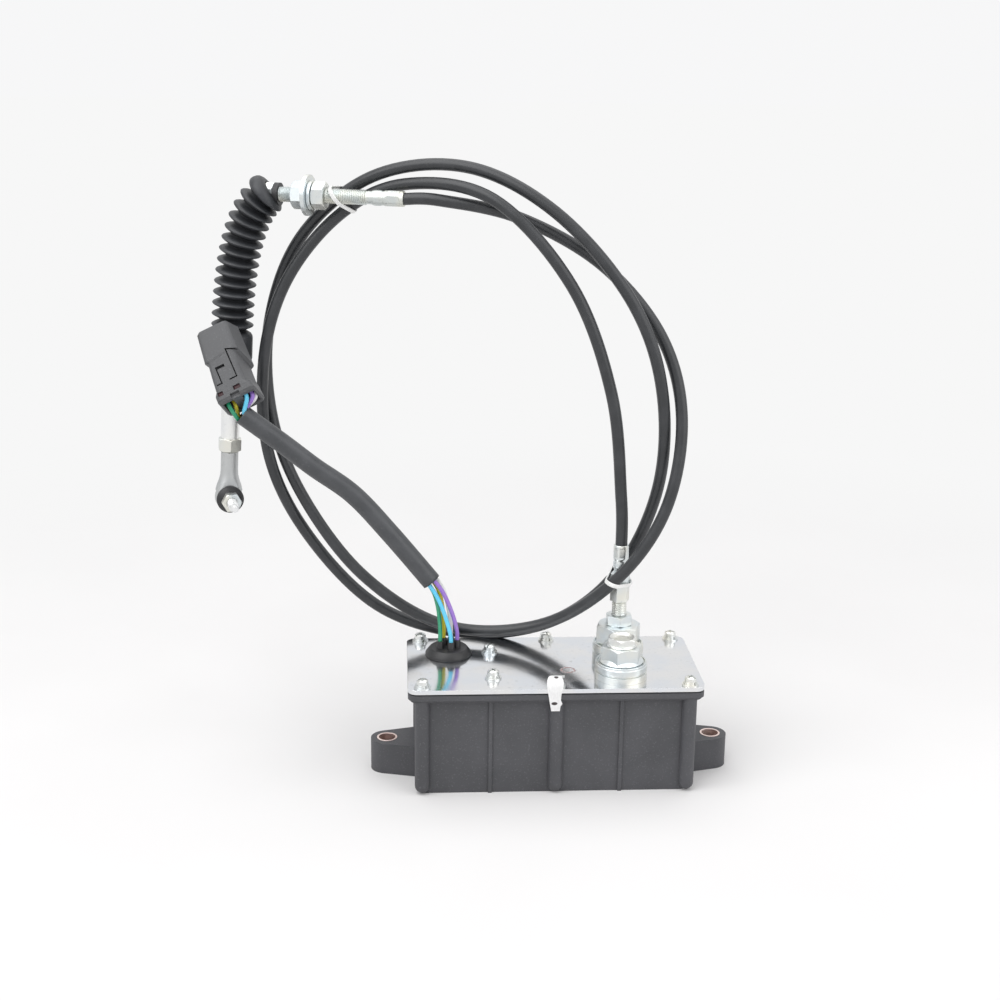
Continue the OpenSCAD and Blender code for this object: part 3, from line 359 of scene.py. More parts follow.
bush_brown = plated(
    "bush_brown", cool=(0.72, 0.58, 0.54), warm=(0.84, 0.72, 0.68),
    rough=0.4, grain=1400, stretch=(1, 1, 0.1), depth=0.01, edge=0.25,
)
bush_bronze = plated(
    "bush_bronze", cool=(0.52, 0.36, 0.16), warm=(0.60, 0.44, 0.22),
    rough=0.32, grain=1500, stretch=EVEN, depth=0.02, edge=0.25,
)
# The boot's rubber carries painted shade in the valleys of its folds
boot_rubber = rubbery(
    "boot_rubber", dark=(0.026, 0.028, 0.032), bloom=(0.045, 0.048, 0.054),
    rough=0.42, depth=0.02, painted_fold_shade=True,
)
seal_rubber = rubbery(
    "seal_rubber", dark=(0.012, 0.012, 0.013), bloom=(0.024, 0.024, 0.026), rough=0.4, depth=0.015
)
cable_jacket = rubbery(
    "cable_jacket", dark=(0.026, 0.028, 0.031), bloom=(0.038, 0.040, 0.044), rough=0.33, depth=0.01
)
sleeve_vinyl = rubbery(
    "sleeve_vinyl", dark=(0.050, 0.053, 0.058), bloom=(0.070, 0.073, 0.079), rough=0.38, depth=0.03
)
tie_nylon = nylon("tie_nylon")
tag_paper = paper("tag_paper")
clear_mark = clear_film("clear_mark")
wire_colours = {
    "green": (0.005, 0.27, 0.13),
    "yellow": (0.62, 0.52, 0.02),
    "blue": (0.12, 0.58, 0.83),
    "white": (0.80, 0.80, 0.80),
    "purple": (0.31, 0.17, 0.58),
}
wire_skins = {name: insulation("insulation_" + name, colour) for name, colour in wire_colours.items()}

node_finishes = {
    housing_black: ["housing"],
    bush_brown: ["ear_bushes"],
    seal_rubber: ["cover_gasket", "boot_ring", "dust_seal"],
    cover_zinc: ["cover_plate"],
    screw_zinc: ["cover_screws", "spring_washers", "flat_washers"],
    fitting_zinc: [
        "outlet_collars", "outlet_nuts", "front_union", "rear_union", "rear_lock_nut",
        "bulkhead_nuts", "bulkhead_washers", "boot_nut", "jam_nut", "stud_nut",
    ],
    rod_bright: ["end_rod"],
    steel_plain: [
        "motor_can", "motor_shaft", "motor_bracket", "idler_pin", "output_shaft", "cable_drum", "core_wire",
    ],
    gear_ivory: ["idler_gear", "output_gear"],
    bush_bronze: ["shaft_bushes"],
    sensor_blue: ["feedback_sensor"],
}
for look, names in node_finishes.items():
    for name in names:
        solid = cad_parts[name]
        solid.data.materials.clear()
        solid.data.materials.append(look)


# Ways of making pieces
def drawn(outline):
    """A new form with a line through (radius, height) points in millimetres, and the parts of that line."""
    form = bmesh.new()
    corners = [form.verts.new((radius * MM, 0, height * MM)) for radius, height in outline]
    edges = [form.edges.new(pair) for pair in zip(corners, corners[1:])]
    return form, corners + edges


def lathe(outline, steps=48):
    """A form spun round Z from an outline of (radius, height) points in millimetres."""
    form, line = drawn(outline)
    bmesh.ops.spin(
        form, geom=line, cent=(0, 0, 0), axis=(0, 0, 1), angle=2 * math.pi, steps=steps, use_merge=True
    )
    bmesh.ops.remove_doubles(form, verts=form.verts, dist=1e-7)
    return form


def arc(radius, height, degrees):
    """Outline points round a ball at that height on the axis, at degrees above its widest circle."""
    angles = [math.radians(d) for d in degrees]
    return [(radius * math.cos(a), height + radius * math.sin(a)) for a in angles]


def thread(radius, pitch, low, high, steps=22):
    """A screw thread between two heights, closed at both ends."""
    root = radius - 0.45 * pitch
    ridge = [(root, 0), (radius, 0.42), (radius, 0.56), (root, 0.98), (root, 1)]
    form, line = drawn([(r, low - pitch + share * pitch) for r, share in ridge])
    turns = math.ceil((high - low) / pitch) + 2
    bmesh.ops.spin(
        form, geom=line, cent=(0, 0, 0), axis=(0, 0, 1), dvec=(0, 0, pitch * MM / steps),
        angle=2 * math.pi * turns, steps=steps * turns,
    )
    bmesh.ops.remove_doubles(form, verts=form.verts, dist=2e-6)
    for height, way in ((low, -1), (high, 1)):
        every = form.verts[:] + form.edges[:] + form.faces[:]
        bmesh.ops.bisect_plane(
            form, geom=every, plane_co=(0, 0, height * MM), plane_no=(0, 0, way), clear_outer=True
        )
    rim = [edge for edge in form.edges if edge.is_boundary]
    bmesh.ops.holes_fill(form, edges=rim, sides=0)
    return form


def softened(form, offset, steps):
    """A form with all its edges rounded by that many millimetres."""
    bmesh.ops.bevel(
        form, geom=form.edges[:], offset=offset * MM, segments=steps, profile=0.5,
        affect="EDGES", material=-1,
    )
    return form


def hexagon(flats, low, high, chamfer, turn=0):
    """A hexagon bar with softened edges."""
    form = bmesh.new()
    corner = flats / math.sqrt(3) * MM
    bmesh.ops.create_cone(
        form, cap_ends=True, segments=6, radius1=corner, radius2=corner, depth=(high - low) * MM,
        matrix=turned((0, 0, (low + high) / 2), ("Z", turn)),
    )
    return softened(form, chamfer, 3)


def pressed(form, flats, low, high):
    """Presses six flats on a turned form between two heights."""
    for vertex in form.verts:
        angle = math.degrees(math.atan2(vertex.co.y, vertex.co.x))
        flat = flats / 2 * MM / math.cos(math.radians(angle % 60 - 30))
        radius = vertex.co.xy.length
        if radius > flat and low * MM < vertex.co.z < high * MM:
            vertex.co.xy *= flat / radius
    return form


def hexagon_head(flats, low, high, turn, dish):
    """A hexagon with corners turned down to a cone at both ends and a dished top."""
    flat, corner = flats / 2, flats / math.sqrt(3)
    slope = 0.093 * corner
    steps = 8
    outline = [(0, low), (flat, low)]
    for i in range(1, steps + 1):
        outline.append((flat + (corner - flat) * i / steps, low + slope * i / steps))
    outline += [(r, low + high - z) for r, z in reversed(outline[1:])]
    outline += [(flat - 0.5, high), (flat - 1.5, high - 0.7 * dish)]
    outline += [(flat / 2, high - dish), (0, high - dish)]
    form = pressed(lathe(outline, 72), flats, low - 1, high + 1)
    bmesh.ops.rotate(form, verts=form.verts, matrix=Matrix.Rotation(math.radians(turn), 3, "Z"))
    return form


def block(low, high):
    """A plain box between two corners in millimetres, for cutting and building."""
    form = bmesh.new()
    size = [b - a for a, b in zip(low, high)]
    middle = [(a + b) / 2 * MM for a, b in zip(low, high)]
    place = Matrix.Translation(middle) @ Matrix.Diagonal([s * MM for s in size] + [1])
    bmesh.ops.create_cube(form, size=1, matrix=place)
    return form


def gathered(*parts):
    """One form from several (form, place) pairs."""
    whole = bmesh.new()
    for form, place in parts:
        bmesh.ops.transform(form, matrix=place, verts=form.verts)
        loose = bpy.data.meshes.new("loose")
        form.to_mesh(loose)
        form.free()
        whole.from_mesh(loose)
        bpy.data.meshes.remove(loose)
    return whole


def add_piece(name, form, look, body="base", stands_for=(), slot=None, sharp=38):
    """Makes a form a piece that rides on a body. Edges of more than the sharp angle stay sharp."""
    bmesh.ops.recalc_face_normals(form, faces=form.faces)
    for edge in form.edges:
        edge.smooth = edge.is_manifold and edge.calc_face_angle() < math.radians(sharp)
    for face in form.faces:
        face.smooth = True
    mesh = bpy.data.meshes.new(name)
    form.to_mesh(mesh)
    form.free()
    return show(bpy.data.objects.new(name, mesh), look, body, stands_for, slot)


def show(piece, look, body, stands_for=(), slot=None):
    """Gives a piece its finish and the body it rides on, and hides the nodes it stands for. The slot is not
    used.
    """
    piece.data.materials.append(look)
    scene.collection.objects.link(piece)
    if stands_for:
        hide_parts(*stands_for)
    if body:
        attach(piece, body)
    return piece


def line_through(name, points, thick, steps=6, round_steps=5, capped=True):
    """A round curve through knots in millimetres. Handles are a sixth of the way between the neighbours."""
    curve = bpy.data.curves.new(name, "CURVE")
    curve.dimensions = "3D"
    curve.bevel_depth = thick / 2 * MM
    curve.bevel_resolution = round_steps
    curve.resolution_u = steps
    curve.use_fill_caps = capped
    last = len(points) - 1
    spline = curve.splines.new("BEZIER")
    spline.bezier_points.add(last)
    for i, knot in enumerate(spline.bezier_points):
        before, here, after = (Vector(points[k]) * MM for k in (max(i - 1, 0), i, min(i + 1, last)))
        pull = (after - before) / 6
        knot.handle_left_type = knot.handle_right_type = "FREE"
        knot.co, knot.handle_left, knot.handle_right = here, here - pull, here + pull
    return bpy.data.objects.new(name, curve)


def as_mesh(piece):
    """The mesh of a curve or of a piece with its modifiers. The piece itself is removed."""
    scene.collection.objects.link(piece)
    mesh = bpy.data.meshes.new_from_object(piece.evaluated_get(bpy.context.evaluated_depsgraph_get()))
    bpy.data.objects.remove(piece)
    mesh.materials.clear()
    return mesh


def as_form(piece):
    """The form of a curve or of a piece with its modifiers. The piece itself is removed."""
    form = bmesh.new()
    mesh = as_mesh(piece)
    form.from_mesh(mesh)
    bpy.data.meshes.remove(mesh)
    return form


def carved(form, cutter):
    """A form less a cutter."""
    pair = []
    for part in (form, cutter):
        bmesh.ops.recalc_face_normals(part, faces=part.faces)
        mesh = bpy.data.meshes.new("carving")
        part.to_mesh(mesh)
        part.free()
        pair.append(bpy.data.objects.new("carving", mesh))
    scene.collection.objects.link(pair[1])
    cut = pair[0].modifiers.new("cut", "BOOLEAN")
    cut.operation = "DIFFERENCE"
    cut.object = pair[1]
    cut.solver = "EXACT"
    cut.use_self = True
    rest = as_form(pair[0])
    bpy.data.objects.remove(pair[1])
    return rest


def curve_point(corners, share):
    """A point on the cubic curve of four corners."""
    rest = 1 - share
    weights = (rest**3, 3 * share * rest**2, 3 * share**2 * rest, share**3)
    return sum((weight * Vector(corner) for weight, corner in zip(weights, corners)), Vector())


def on_knots(knots, i, share):
    """A place on the smooth line between two knots, and the way it runs there."""
    a, b, c, d = (Vector(knots[min(max(k, 0), len(knots) - 1)]) for k in (i - 1, i, i + 1, i + 2))
    corners = (b, b + (c - a) / 6, c - (d - b) / 6, c)
    ahead, behind = (curve_point(corners, share + step) for step in (0.01, -0.01))
    return curve_point(corners, share), (ahead - behind).normalized()


# Control cable
cable_knots = [
    (37, 8, 124), (36, 8, 150), (29, 8, 206), (7, 11, 262), (-33, 26, 304), (-78, 50, 309), (-113, 65, 291),
    (-142, 68, 255), (-155, 66, 211), (-153, 64, 158), (-132, 61, 113), (-94, 54, 74), (-47, 44, 61),
    (1, 29, 72), (36, 18, 104), (56, 12, 154), (55, 6, 209), (37, 8, 256), (-1, 22, 298), (-46, 40, 319),
    (-95, 59, 312), (-134, 76, 278), (-152, 76, 232), (-152, 72, 182), (-136, 62, 138), (-102, 46, 95),
    (-56, 34, 69), (-5, 20, 74), (33, 0, 106), (58, -3, 146), (66, 5, 193), (55, 14, 235), (24, 24, 271),
    (-19, 32, 294), (-60, 38.5, 302), (-78, 44, 302),
]
cable = show(
    line_through("cable", cable_knots, CABLE_ACROSS, steps=12),
    cable_jacket, "base", ["control_cable"], "cable_jacket",
)


# Threaded fittings at both ends of the cable
def ferrule(length, mouth_up=True):
    """A ferrule 8.2 mm across, with a neck, a pressed waist and six crimped flats next to its mouth."""
    r = 4.1
    neck = [(r - 0.7, 0), (r - 0.6, 0.14), (r - 0.1, 0.2), (r, 0.24), (r, 0.36)]
    waist = [(r - 0.15, 0.4), (r - 0.3, 0.43), (r - 0.3, 0.47), (r, 0.5)]
    crimp = [(r, share) for share in (0.53, 0.55, 0.57, 0.6, 0.7, 0.8, 0.87, 0.89, 0.91, 0.95)]
    outline = [(0, 0)] + [(radius, length * share) for radius, share in neck + waist + crimp]
    outline += [(r, length - 0.3), (r - 0.25, length), (0, length)]
    form = pressed(lathe(outline, 72), flats=7.5, low=length * 0.56, high=length * 0.9)
    if not mouth_up:
        bmesh.ops.transform(form, matrix=Matrix.Rotation(math.pi, 4, "X"), verts=form.verts)
    return form


ENTRY_HEXAGON = 92.4
ENTRY_FERRULE = 108
FITTING_SHOULDER = 20.8
add_piece(
    "cable_entry",
    gathered(
        (thread(4, pitch=1.25, low=62, high=ENTRY_HEXAGON), REAR_OUTLET),
        (hexagon(9.4, ENTRY_HEXAGON, ENTRY_FERRULE, chamfer=0.35, turn=38), REAR_OUTLET),
        (ferrule(16), REAR_OUTLET @ Matrix.Translation((0, 0, ENTRY_FERRULE * MM))),
    ),
    fitting_zinc, "base", ["conduit_entry"], "fitting_steel",
)
bulkhead = add_piece(
    "bulkhead_thread",
    gathered(
        (ferrule(20.7, mouth_up=False), on_fitting(FITTING_SHOULDER)),
        (thread(4, pitch=1, low=FITTING_SHOULDER, high=77), on_fitting(0)),
    ),
    thread_zinc, "base", ["bulkhead_tube"], "fitting_steel",
)


# Bellows boot: a straight bellows, then bent along the hanging line of the cable's end
BOOT_ROOT = 7.2
BOOT_CREST = 11.5


def boot_outline(length):
    """The straight bellows: rounded lip, folds, cuff and bore."""
    folds, per_fold, bore, mouth, lip_depth = 14, 10, 5.4, 6.4, 4.2
    outline = []
    for degrees in range(0, 90, 15):
        angle = math.radians(degrees)
        lip = length / folds / 2 - lip_depth * math.cos(angle)
        outline.append((mouth + (BOOT_CREST - mouth) * math.sin(angle), lip))
    for i in range(per_fold // 2, folds * per_fold + 1):
        fullness = 0.9 if i > per_fold else 0.6
        swell = (0.5 - 0.5 * math.cos(2 * math.pi * i / per_fold)) ** fullness
        outline.append((BOOT_ROOT + (BOOT_CREST - BOOT_ROOT) * swell, length * i / (folds * per_fold)))
    cuff = [(8.6, 0.6), (10.2, 1.6), (11.0, 2.8), (11.2, 4), (11.2, 15), (10.9, 16.3)]
    cuff += [(10.2, CUFF_LENGTH), (bore, CUFF_LENGTH)]
    outline += [(radius, length + along) for radius, along in cuff]
    start, rings = outline[0][1], 24
    outline += [(bore, start + (length - start) * i / rings) for i in range(rings, -1, -1)]
    return outline + outline[:1]


def make_boot():
    top = Vector((-149.4, 66.0, 303.2))
    top_pull = Vector((-15, 2.4, -10.4))
    cuff_pull = 31
    shares = 240
    corners = (top, top + top_pull, CUFF_AT - ROD_WAY * cuff_pull, CUFF_AT)
    line = [curve_point(corners, i / shares) for i in range(shares + 1)]
    steps = [0.0]
    for before, after in zip(line, line[1:]):
        steps.append(steps[-1] + (after - before).length)
    length = steps[-1]
    side = Vector((-FITTING_WAY.y, FITTING_WAY.x, 0))
    form = lathe(boot_outline(length), 40)
    # Each corner's rise up its fold, nought in the valley and one on the crest, which leads the painted
    # shade of the rubber
    fold = form.verts.layers.float.new("fold")
    for corner in form.verts:
        along = corner.co.z / MM
        rise = (corner.co.xy.length / MM - BOOT_ROOT) / (BOOT_CREST - BOOT_ROOT)
        corner[fold] = min(max(rise, 0), 1)
        if along >= length:
            middle, way = CUFF_AT + ROD_WAY * (along - length), ROD_WAY
        else:
            i = min(max(sum(step <= along for step in steps) - 1, 0), shares - 1)
            share = (along - steps[i]) / (steps[i + 1] - steps[i])
            middle = line[i].lerp(line[i + 1], share)
            way = (line[min(i + 2, shares)] - line[max(i - 1, 0)]).normalized()
        across = way.cross(side).normalized()
        corner.co = middle * MM + across * corner.co.x + across.cross(way) * corner.co.y
    piece = add_piece("bellows", form, boot_rubber, None, ["boot"], "rubber", sharp=60)
    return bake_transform(piece)


boot = make_boot()


# Ball stud with its thread
stud_shank = [(2.9, 4.2), (2.9, 14.8), (2.6, 15), (2.6, 15.9), (0, 15.9)]
stud_tip = [(0, 21.8), (2.1, 21.8), (2.1, 26), (1.6, 27), (0, 27)]
stud_ball = [(0, -BALL_RADIUS)] + arc(BALL_RADIUS, 0, range(-80, 55, 9))
stud = add_piece(
    "stud",
    gathered(
        (lathe(stud_ball + stud_shank, 40), ON_STUD),
        (thread(3, pitch=1, low=15.7, high=22), ON_STUD),
        (lathe(stud_tip, 24), ON_STUD),
    ),
    rod_bright, "stud", ["ball_stud"], "rod_steel",
)


# Rod end: turned shank that flares into a socket pressed flat on two faces
def make_rod_end():
    head_radius, half_thick, ball_room = 7.75, 5.5, 0.15
    outline = [(0, 51.3), (4.2, 51.3), (4.8, 51.9), (4.8, 62), (5, 65), (5.7, 68), (6.8, 71), (7.5, 74)]
    outline += arc(head_radius, BALL_DOWN, range(-25, 90, 10))
    outline.append((0, BALL_DOWN + head_radius))
    form = lathe(outline, 72)
    for vertex in form.verts:
        vertex.co.y = min(max(vertex.co.y, -half_thick * MM), half_thick * MM)
    on_rod = turned(ROD_AT, ("X", 180), ("Y", ROD_LEAN)) @ Matrix.Rotation(math.radians(-STUD_TURN), 4, "Z")
    bmesh.ops.transform(form, matrix=on_rod, verts=form.verts)
    ball = bmesh.new()
    bmesh.ops.create_uvsphere(ball, u_segments=32, v_segments=20, radius=(BALL_RADIUS + ball_room) * MM)
    mouth = lathe([(0, 0), (4.4, 0), (4.4, 8), (0, 8)], 40)
    shank_bore = lathe([(0, 50), (3.1, 50), (3.1, 62.6), (0, 62.6)], 32)
    cutter = gathered((ball, ON_STUD), (mouth, ON_STUD), (shank_bore, on_rod))
    whole = carved(form, cutter)
    return add_piece("socket", whole, socket_grey, "rod", ["rod_end"], "dark_steel", sharp=35)


socket = make_rod_end()


# Ties: a thin nylon band round the strands and the fitting they are tied to
def make_tie(name, at, facing, held, stands_for):
    """A flat band at a place, round every line it holds, each given as (point, way, radius)."""
    right = facing.cross(Vector((0, 0, 1))).normalized()
    up = right.cross(facing)
    strap_half, strap_round, around = 0.75, 0.42, 48
    rim = []
    for point, way, radius in held:
        lean = way.dot(facing)
        middle = point + way * ((at - point).dot(facing) / lean) - at
        long_way = (way - facing * lean + right * 1e-6).normalized()
        for k in range(around):
            angle = 2 * math.pi * k / around
            long_reach = long_way * math.cos(angle) * (radius / abs(lean))
            reach = long_reach + facing.cross(long_way) * math.sin(angle) * radius
            rim.append(((middle + reach).dot(right), (middle + reach).dot(up)))
    curve = bpy.data.curves.new(name, "CURVE")
    curve.dimensions = "2D"
    curve.fill_mode = "NONE"
    curve.extrude = strap_half * MM
    curve.bevel_depth = strap_round * MM
    curve.bevel_resolution = 3
    spline = curve.splines.new("POLY")
    loop = [rim[i] for i in convex_hull_2d(rim)]
    spline.points.add(len(loop) - 1)
    for corner, (x, y) in zip(spline.points, loop):
        corner.co = (x * MM, y * MM, 0, 1)
    spline.use_cyclic_u = True
    strap = as_form(bpy.data.objects.new(name, curve))
    place = Matrix.Translation(at * MM) @ Matrix((right, up, facing)).transposed().to_4x4()
    back = max(loop, key=lambda corner: (right * corner[0] + up * corner[1]).y)
    head = softened(block((back[0] - 2, back[1] - 1.4, -1.9), (back[0] + 2, back[1] + 1.6, 1.9)), 0.5, 2)
    whole = gathered((strap, place), (head, place))
    return add_piece(name, whole, tie_nylon, "base", stands_for, "tie_nylon", sharp=50)


JACKET_ROOM = 3.7
entry_line = (REAR_OUTLET_AT + Vector((0, 0, 100)), Vector((0, 0, 1)), 6.0)
fitting_line = (FITTING_AT, FITTING_WAY, 4.6)
# A strand is held at a share of the way from one knot to the next
lower_strands = [on_knots(cable_knots, 27, 0.97), on_knots(cable_knots, 13, 0.97)]
upper_strands = [on_knots(cable_knots, 5, 0.8), on_knots(cable_knots, 20, 0.3)]
lower_at, lower_way = lower_strands[0]
upper_at, upper_way = upper_strands[0]
lower_tie = make_tie(
    "lower_tie", lower_at, (lower_way + Vector((0, 0, 1.2))).normalized(),
    [entry_line] + [(*strand, JACKET_ROOM) for strand in lower_strands], ["tie_lower"],
)
upper_tie = make_tie(
    "upper_tie", upper_at, upper_way,
    [fitting_line] + [(*strand, JACKET_ROOM) for strand in upper_strands], ["tie_upper"],
)


# Cable outlets: round skirt under the front union, raised rims on the collars, dished blanking screw
skirt_outline = [(9.4, 68.02), (11.7, 68.02), (11.8, 68.2), (11.8, 69.2), (11.4, 69.7), (9.4, 71.4)]
rim_outline = [(12.5, 67.9), (12.5, 68.7), (12.7, 68.9), (13.2, 68.9), (13.4, 68.7), (13.4, 67.9)]
flange_outline = [(0, 77.52), (7.9, 77.52), (8.1, 77.8), (7.6, 78.4), (0, 78.6)]
add_piece(
    "union_skirt", gathered((lathe(skirt_outline, 72), FRONT_OUTLET)), fitting_zinc, slot="fitting_steel"
)
add_piece(
    "collar_rims",
    gathered((lathe(rim_outline, 72), FRONT_OUTLET), (lathe(rim_outline, 72), REAR_OUTLET)),
    fitting_zinc, slot="fitting_steel",
)
add_piece(
    "blanking_head",
    gathered(
        (hexagon_head(13.9, 78.1, 82.1, turn=20, dish=1.6), FRONT_OUTLET),
        (lathe(flange_outline, 56), FRONT_OUTLET),
        (thread(4, pitch=1, low=59.6, high=77.5), FRONT_OUTLET),
    ),
    screw_zinc, "base", ["blanking_screw"], "fitting_steel",
)


# Cover screws: smaller domed heads with crossed slots, so that the washers show
def make_screws():
    seat, shank, length, turn_each = 61.8, 2, 16, 35
    half_slot, slot_floor = 0.45, 1.7
    rim_places = [(x, y) for x in (-70, 0, 70) for y in (-33, 33)]
    bracket_places = [(-32.6, -21.1), (-32.6, 15.3)]
    outline = [(0, -length), (shank, -length), (shank, 0)]
    outline += [(3.1, 0), (3.1, 1.5), (2.9, 2.2), (2.2, 2.7), (1, 2.9), (0, 2.9)]
    long_slot = block((-4, -half_slot, slot_floor), (4, half_slot, 4))
    short_slot = block((-half_slot, -2, slot_floor), (half_slot, 2, 4))
    screw = carved(lathe(outline, 32), gathered((long_slot, Matrix()), (short_slot, Matrix())))
    parts = []
    for i, (x, y) in enumerate(rim_places + bracket_places):
        parts.append((screw.copy(), turned((x, y, seat), ("Z", turn_each * i))))
    screw.free()
    add_piece("screws", gathered(*parts), screw_zinc, "base", ["cover_screws"], "zinc_screws")


make_screws()


# Small paper tag over the front middle screw, and a clear round mark on the cover
def make_tag():
    """The tag's sheet, drawn out row by row. A row is (left, right, y, z), from the cover downwards."""
    rows = [
        (-2.6, 4.5, -27, 62.2), (-2.9, 4.4, -28.6, 63.8), (-3.4, 4.2, -30.4, 64.8), (-4.2, 2.4, -32, 65.1),
        (-4.9, 2.4, -34, 65.1), (-5.5, 2.9, -36, 64.4), (-5.7, 3, -37.6, 62.8), (-5.6, 2.6, -38.3, 60.6),
        (-5, 1.9, -38.4, 57.8), (-4.4, 1.6, -38.4, 54.2), (-4.1, 2.5, -38.3, 52.2),
        (-3.8, 1.5, -38.3, 50.8), (-3.3, 1.2, -38.2, 48.1),
    ]
    across = 5

    def spread(left, right, y, z):
        return [((left + (right - left) * k / across) * MM, y * MM, z * MM) for k in range(across + 1)]

    form = bmesh.new()
    corners = [form.verts.new(point) for point in spread(*rows[0])]
    edge = [form.edges.new(pair) for pair in zip(corners, corners[1:])]
    for row in rows[1:]:
        made = bmesh.ops.extrude_edge_only(form, edges=edge)["geom"]
        edge = [item for item in made if isinstance(item, bmesh.types.BMEdge)]
        corners = [item for item in made if isinstance(item, bmesh.types.BMVert)]
        corners.sort(key=lambda corner: corner.co.x)
        for corner, point in zip(corners, spread(*row)):
            corner.co = point
    piece = add_piece("tag", form, tag_paper, "base", sharp=80)
    sheet = piece.modifiers.new("thickness", "SOLIDIFY")
    sheet.thickness = 0.15 * MM


make_tag()
mark_rim = [(0, 0.03), (4.5, 0.03), (4.55, 0.07), (4.5, 0.1), (0, 0.1)]
mark_outline = [(radius, COVER_TOP + height) for radius, height in mark_rim]
add_piece("round_mark", gathered((lathe(mark_outline, 56), turned((*MARK_AT, 0)))), clear_mark)


# Wiring: grommet, five wires, sleeve and plug
STUB_TOP = 68.2
WIRE_START = 68.3
SLEEVE_REACH = 3
sleeve_knots = [
    (-64, 24.5, 98), (-86, 28, 124), (-106, 31, 145.5), (-127, 33, 160.5), (-144, 33, 174), (-162, 32, 188),
]
# Where each wire leaves the grommet, lies in the sleeve's low and high end, bows and enters the plug
wire_places = {
    "green": dict(
        stub=(-4.6, -2.2), low=(2.9, 2.1), high=(3, -2.2), bow=(0.2, 0.3, -0.2), plug=(-6.9, -1.4)
    ),
    "yellow": dict(
        stub=(-2.6, 3.2), low=(0.2, 3.6), high=(3, 2.2), bow=(0.3, 0.2, 0), plug=(-4.3, 1.4)
    ),
    "blue": dict(
        stub=(1.2, -4.2), low=(1.5, -3.2), high=(-2.3, -2.9), bow=(0.2, -0.2, 0), plug=(3.6, -3)
    ),
    "white": dict(
        stub=(1.4, 3.8), low=(-2.3, 2.9), high=(-3, 2.4), bow=(0.6, 0.2, 0.2), plug=(7.4, 1.2)
    ),
    "purple": dict(
        stub=(4.7, -0.4), low=(-2.2, -2.9), high=(-3.6, -0.4), bow=(0.9, -0.1, 0.2), plug=(6.4, -1.2)
    ),
}
PLUG_LOW = -3
WIRE_END = 2.85
plug_windows = [(-9.0, -5.9), (0, 4)]


def make_grommet():
    top = 64.2
    outline = [
        (0, 54.7), (9.6, 54.7), (10.9, 57.5), (8.98, 57.6), (8.98, COVER_TOP), (12.3, COVER_TOP),
        (12.6, 60.6), (12.5, 61.2), (10.5, 63.8), (10, top), (0, top),
    ]
    stub = [(0, top - 0.5), (2.3, top - 0.5), (2, top + 0.4), (1.85, top + 3.6)]
    stub += [(1.6, STUB_TOP), (0, STUB_TOP)]
    parts = [(lathe(outline, 64), GROMMET)]
    for places in wire_places.values():
        x, y = places["stub"]
        parts.append((lathe(stub, 20), GROMMET @ Matrix.Translation((x * MM, y * MM, 0))))
    add_piece("grommet", gathered(*parts), seal_rubber, "base", ["wire_grommet"], "rubber", sharp=30)


make_grommet()


def across_sleeve(i):
    """The sleeve's way at a knot, and two directions across it."""
    last = len(sleeve_knots) - 1
    before, after = (Vector(sleeve_knots[k]) for k in (max(i - 1, 0), min(i + 1, last)))
    way = (after - before).normalized()
    first = way.cross(Vector((0.1, 1, 0))).normalized()
    return way, first, first.cross(way)


def wire_route(places):
    """From the grommet's stub through the sleeve into the plug."""
    straight, upward, inward, steps = 1.2, 4, 9, 6
    x, y = places["stub"]
    start = Vector((GROMMET_AT[0] + x, GROMMET_AT[1] + y, WIRE_START))
    ring_low, ring_high, bow = (Vector(places[key]) for key in ("low", "high", "bow"))
    last = len(sleeve_knots) - 1
    inside = []
    for i, point in enumerate(sleeve_knots):
        way, first, second = across_sleeve(i)
        ring = ring_low.lerp(ring_high, i / last).normalized() * ring_low.length
        inside.append(Vector(point) + first * ring.x + second * ring.y)
    way = across_sleeve(0)[0]
    rise, below = start + Vector((0, 0, straight)), inside[0] - way * straight
    corners = (rise, rise + Vector((0, 0, upward)) + bow, below - way * inward + bow, below)
    loose = [curve_point(corners, i / steps) for i in range(steps + 1)]
    mouth, end = (PLUG @ (Vector((*places["plug"], z)) * MM) / MM for z in (PLUG_LOW, WIRE_END))
    above = inside[-1] + across_sleeve(last)[0] * SLEEVE_REACH
    return [start] + loose + inside + [above, mouth, end]


def make_sleeve():
    last = len(sleeve_knots) - 1
    upper_end = Vector(sleeve_knots[last]) + across_sleeve(last)[0] * SLEEVE_REACH
    knots = sleeve_knots[:-1] + [upper_end]
    mesh = as_mesh(line_through("sleeve_line", knots, SLEEVE_ACROSS, steps=14, round_steps=7, capped=False))
    for polygon in mesh.polygons:
        polygon.use_smooth = True
    piece = bpy.data.objects.new("sleeve", mesh)
    show(piece, sleeve_vinyl, "base", ["harness_sleeve"], "sleeve_vinyl")
    wall = piece.modifiers.new("wall", "SOLIDIFY")
    wall.thickness = 0.8 * MM
    wall.offset = -1
    return piece


sleeve = make_sleeve()


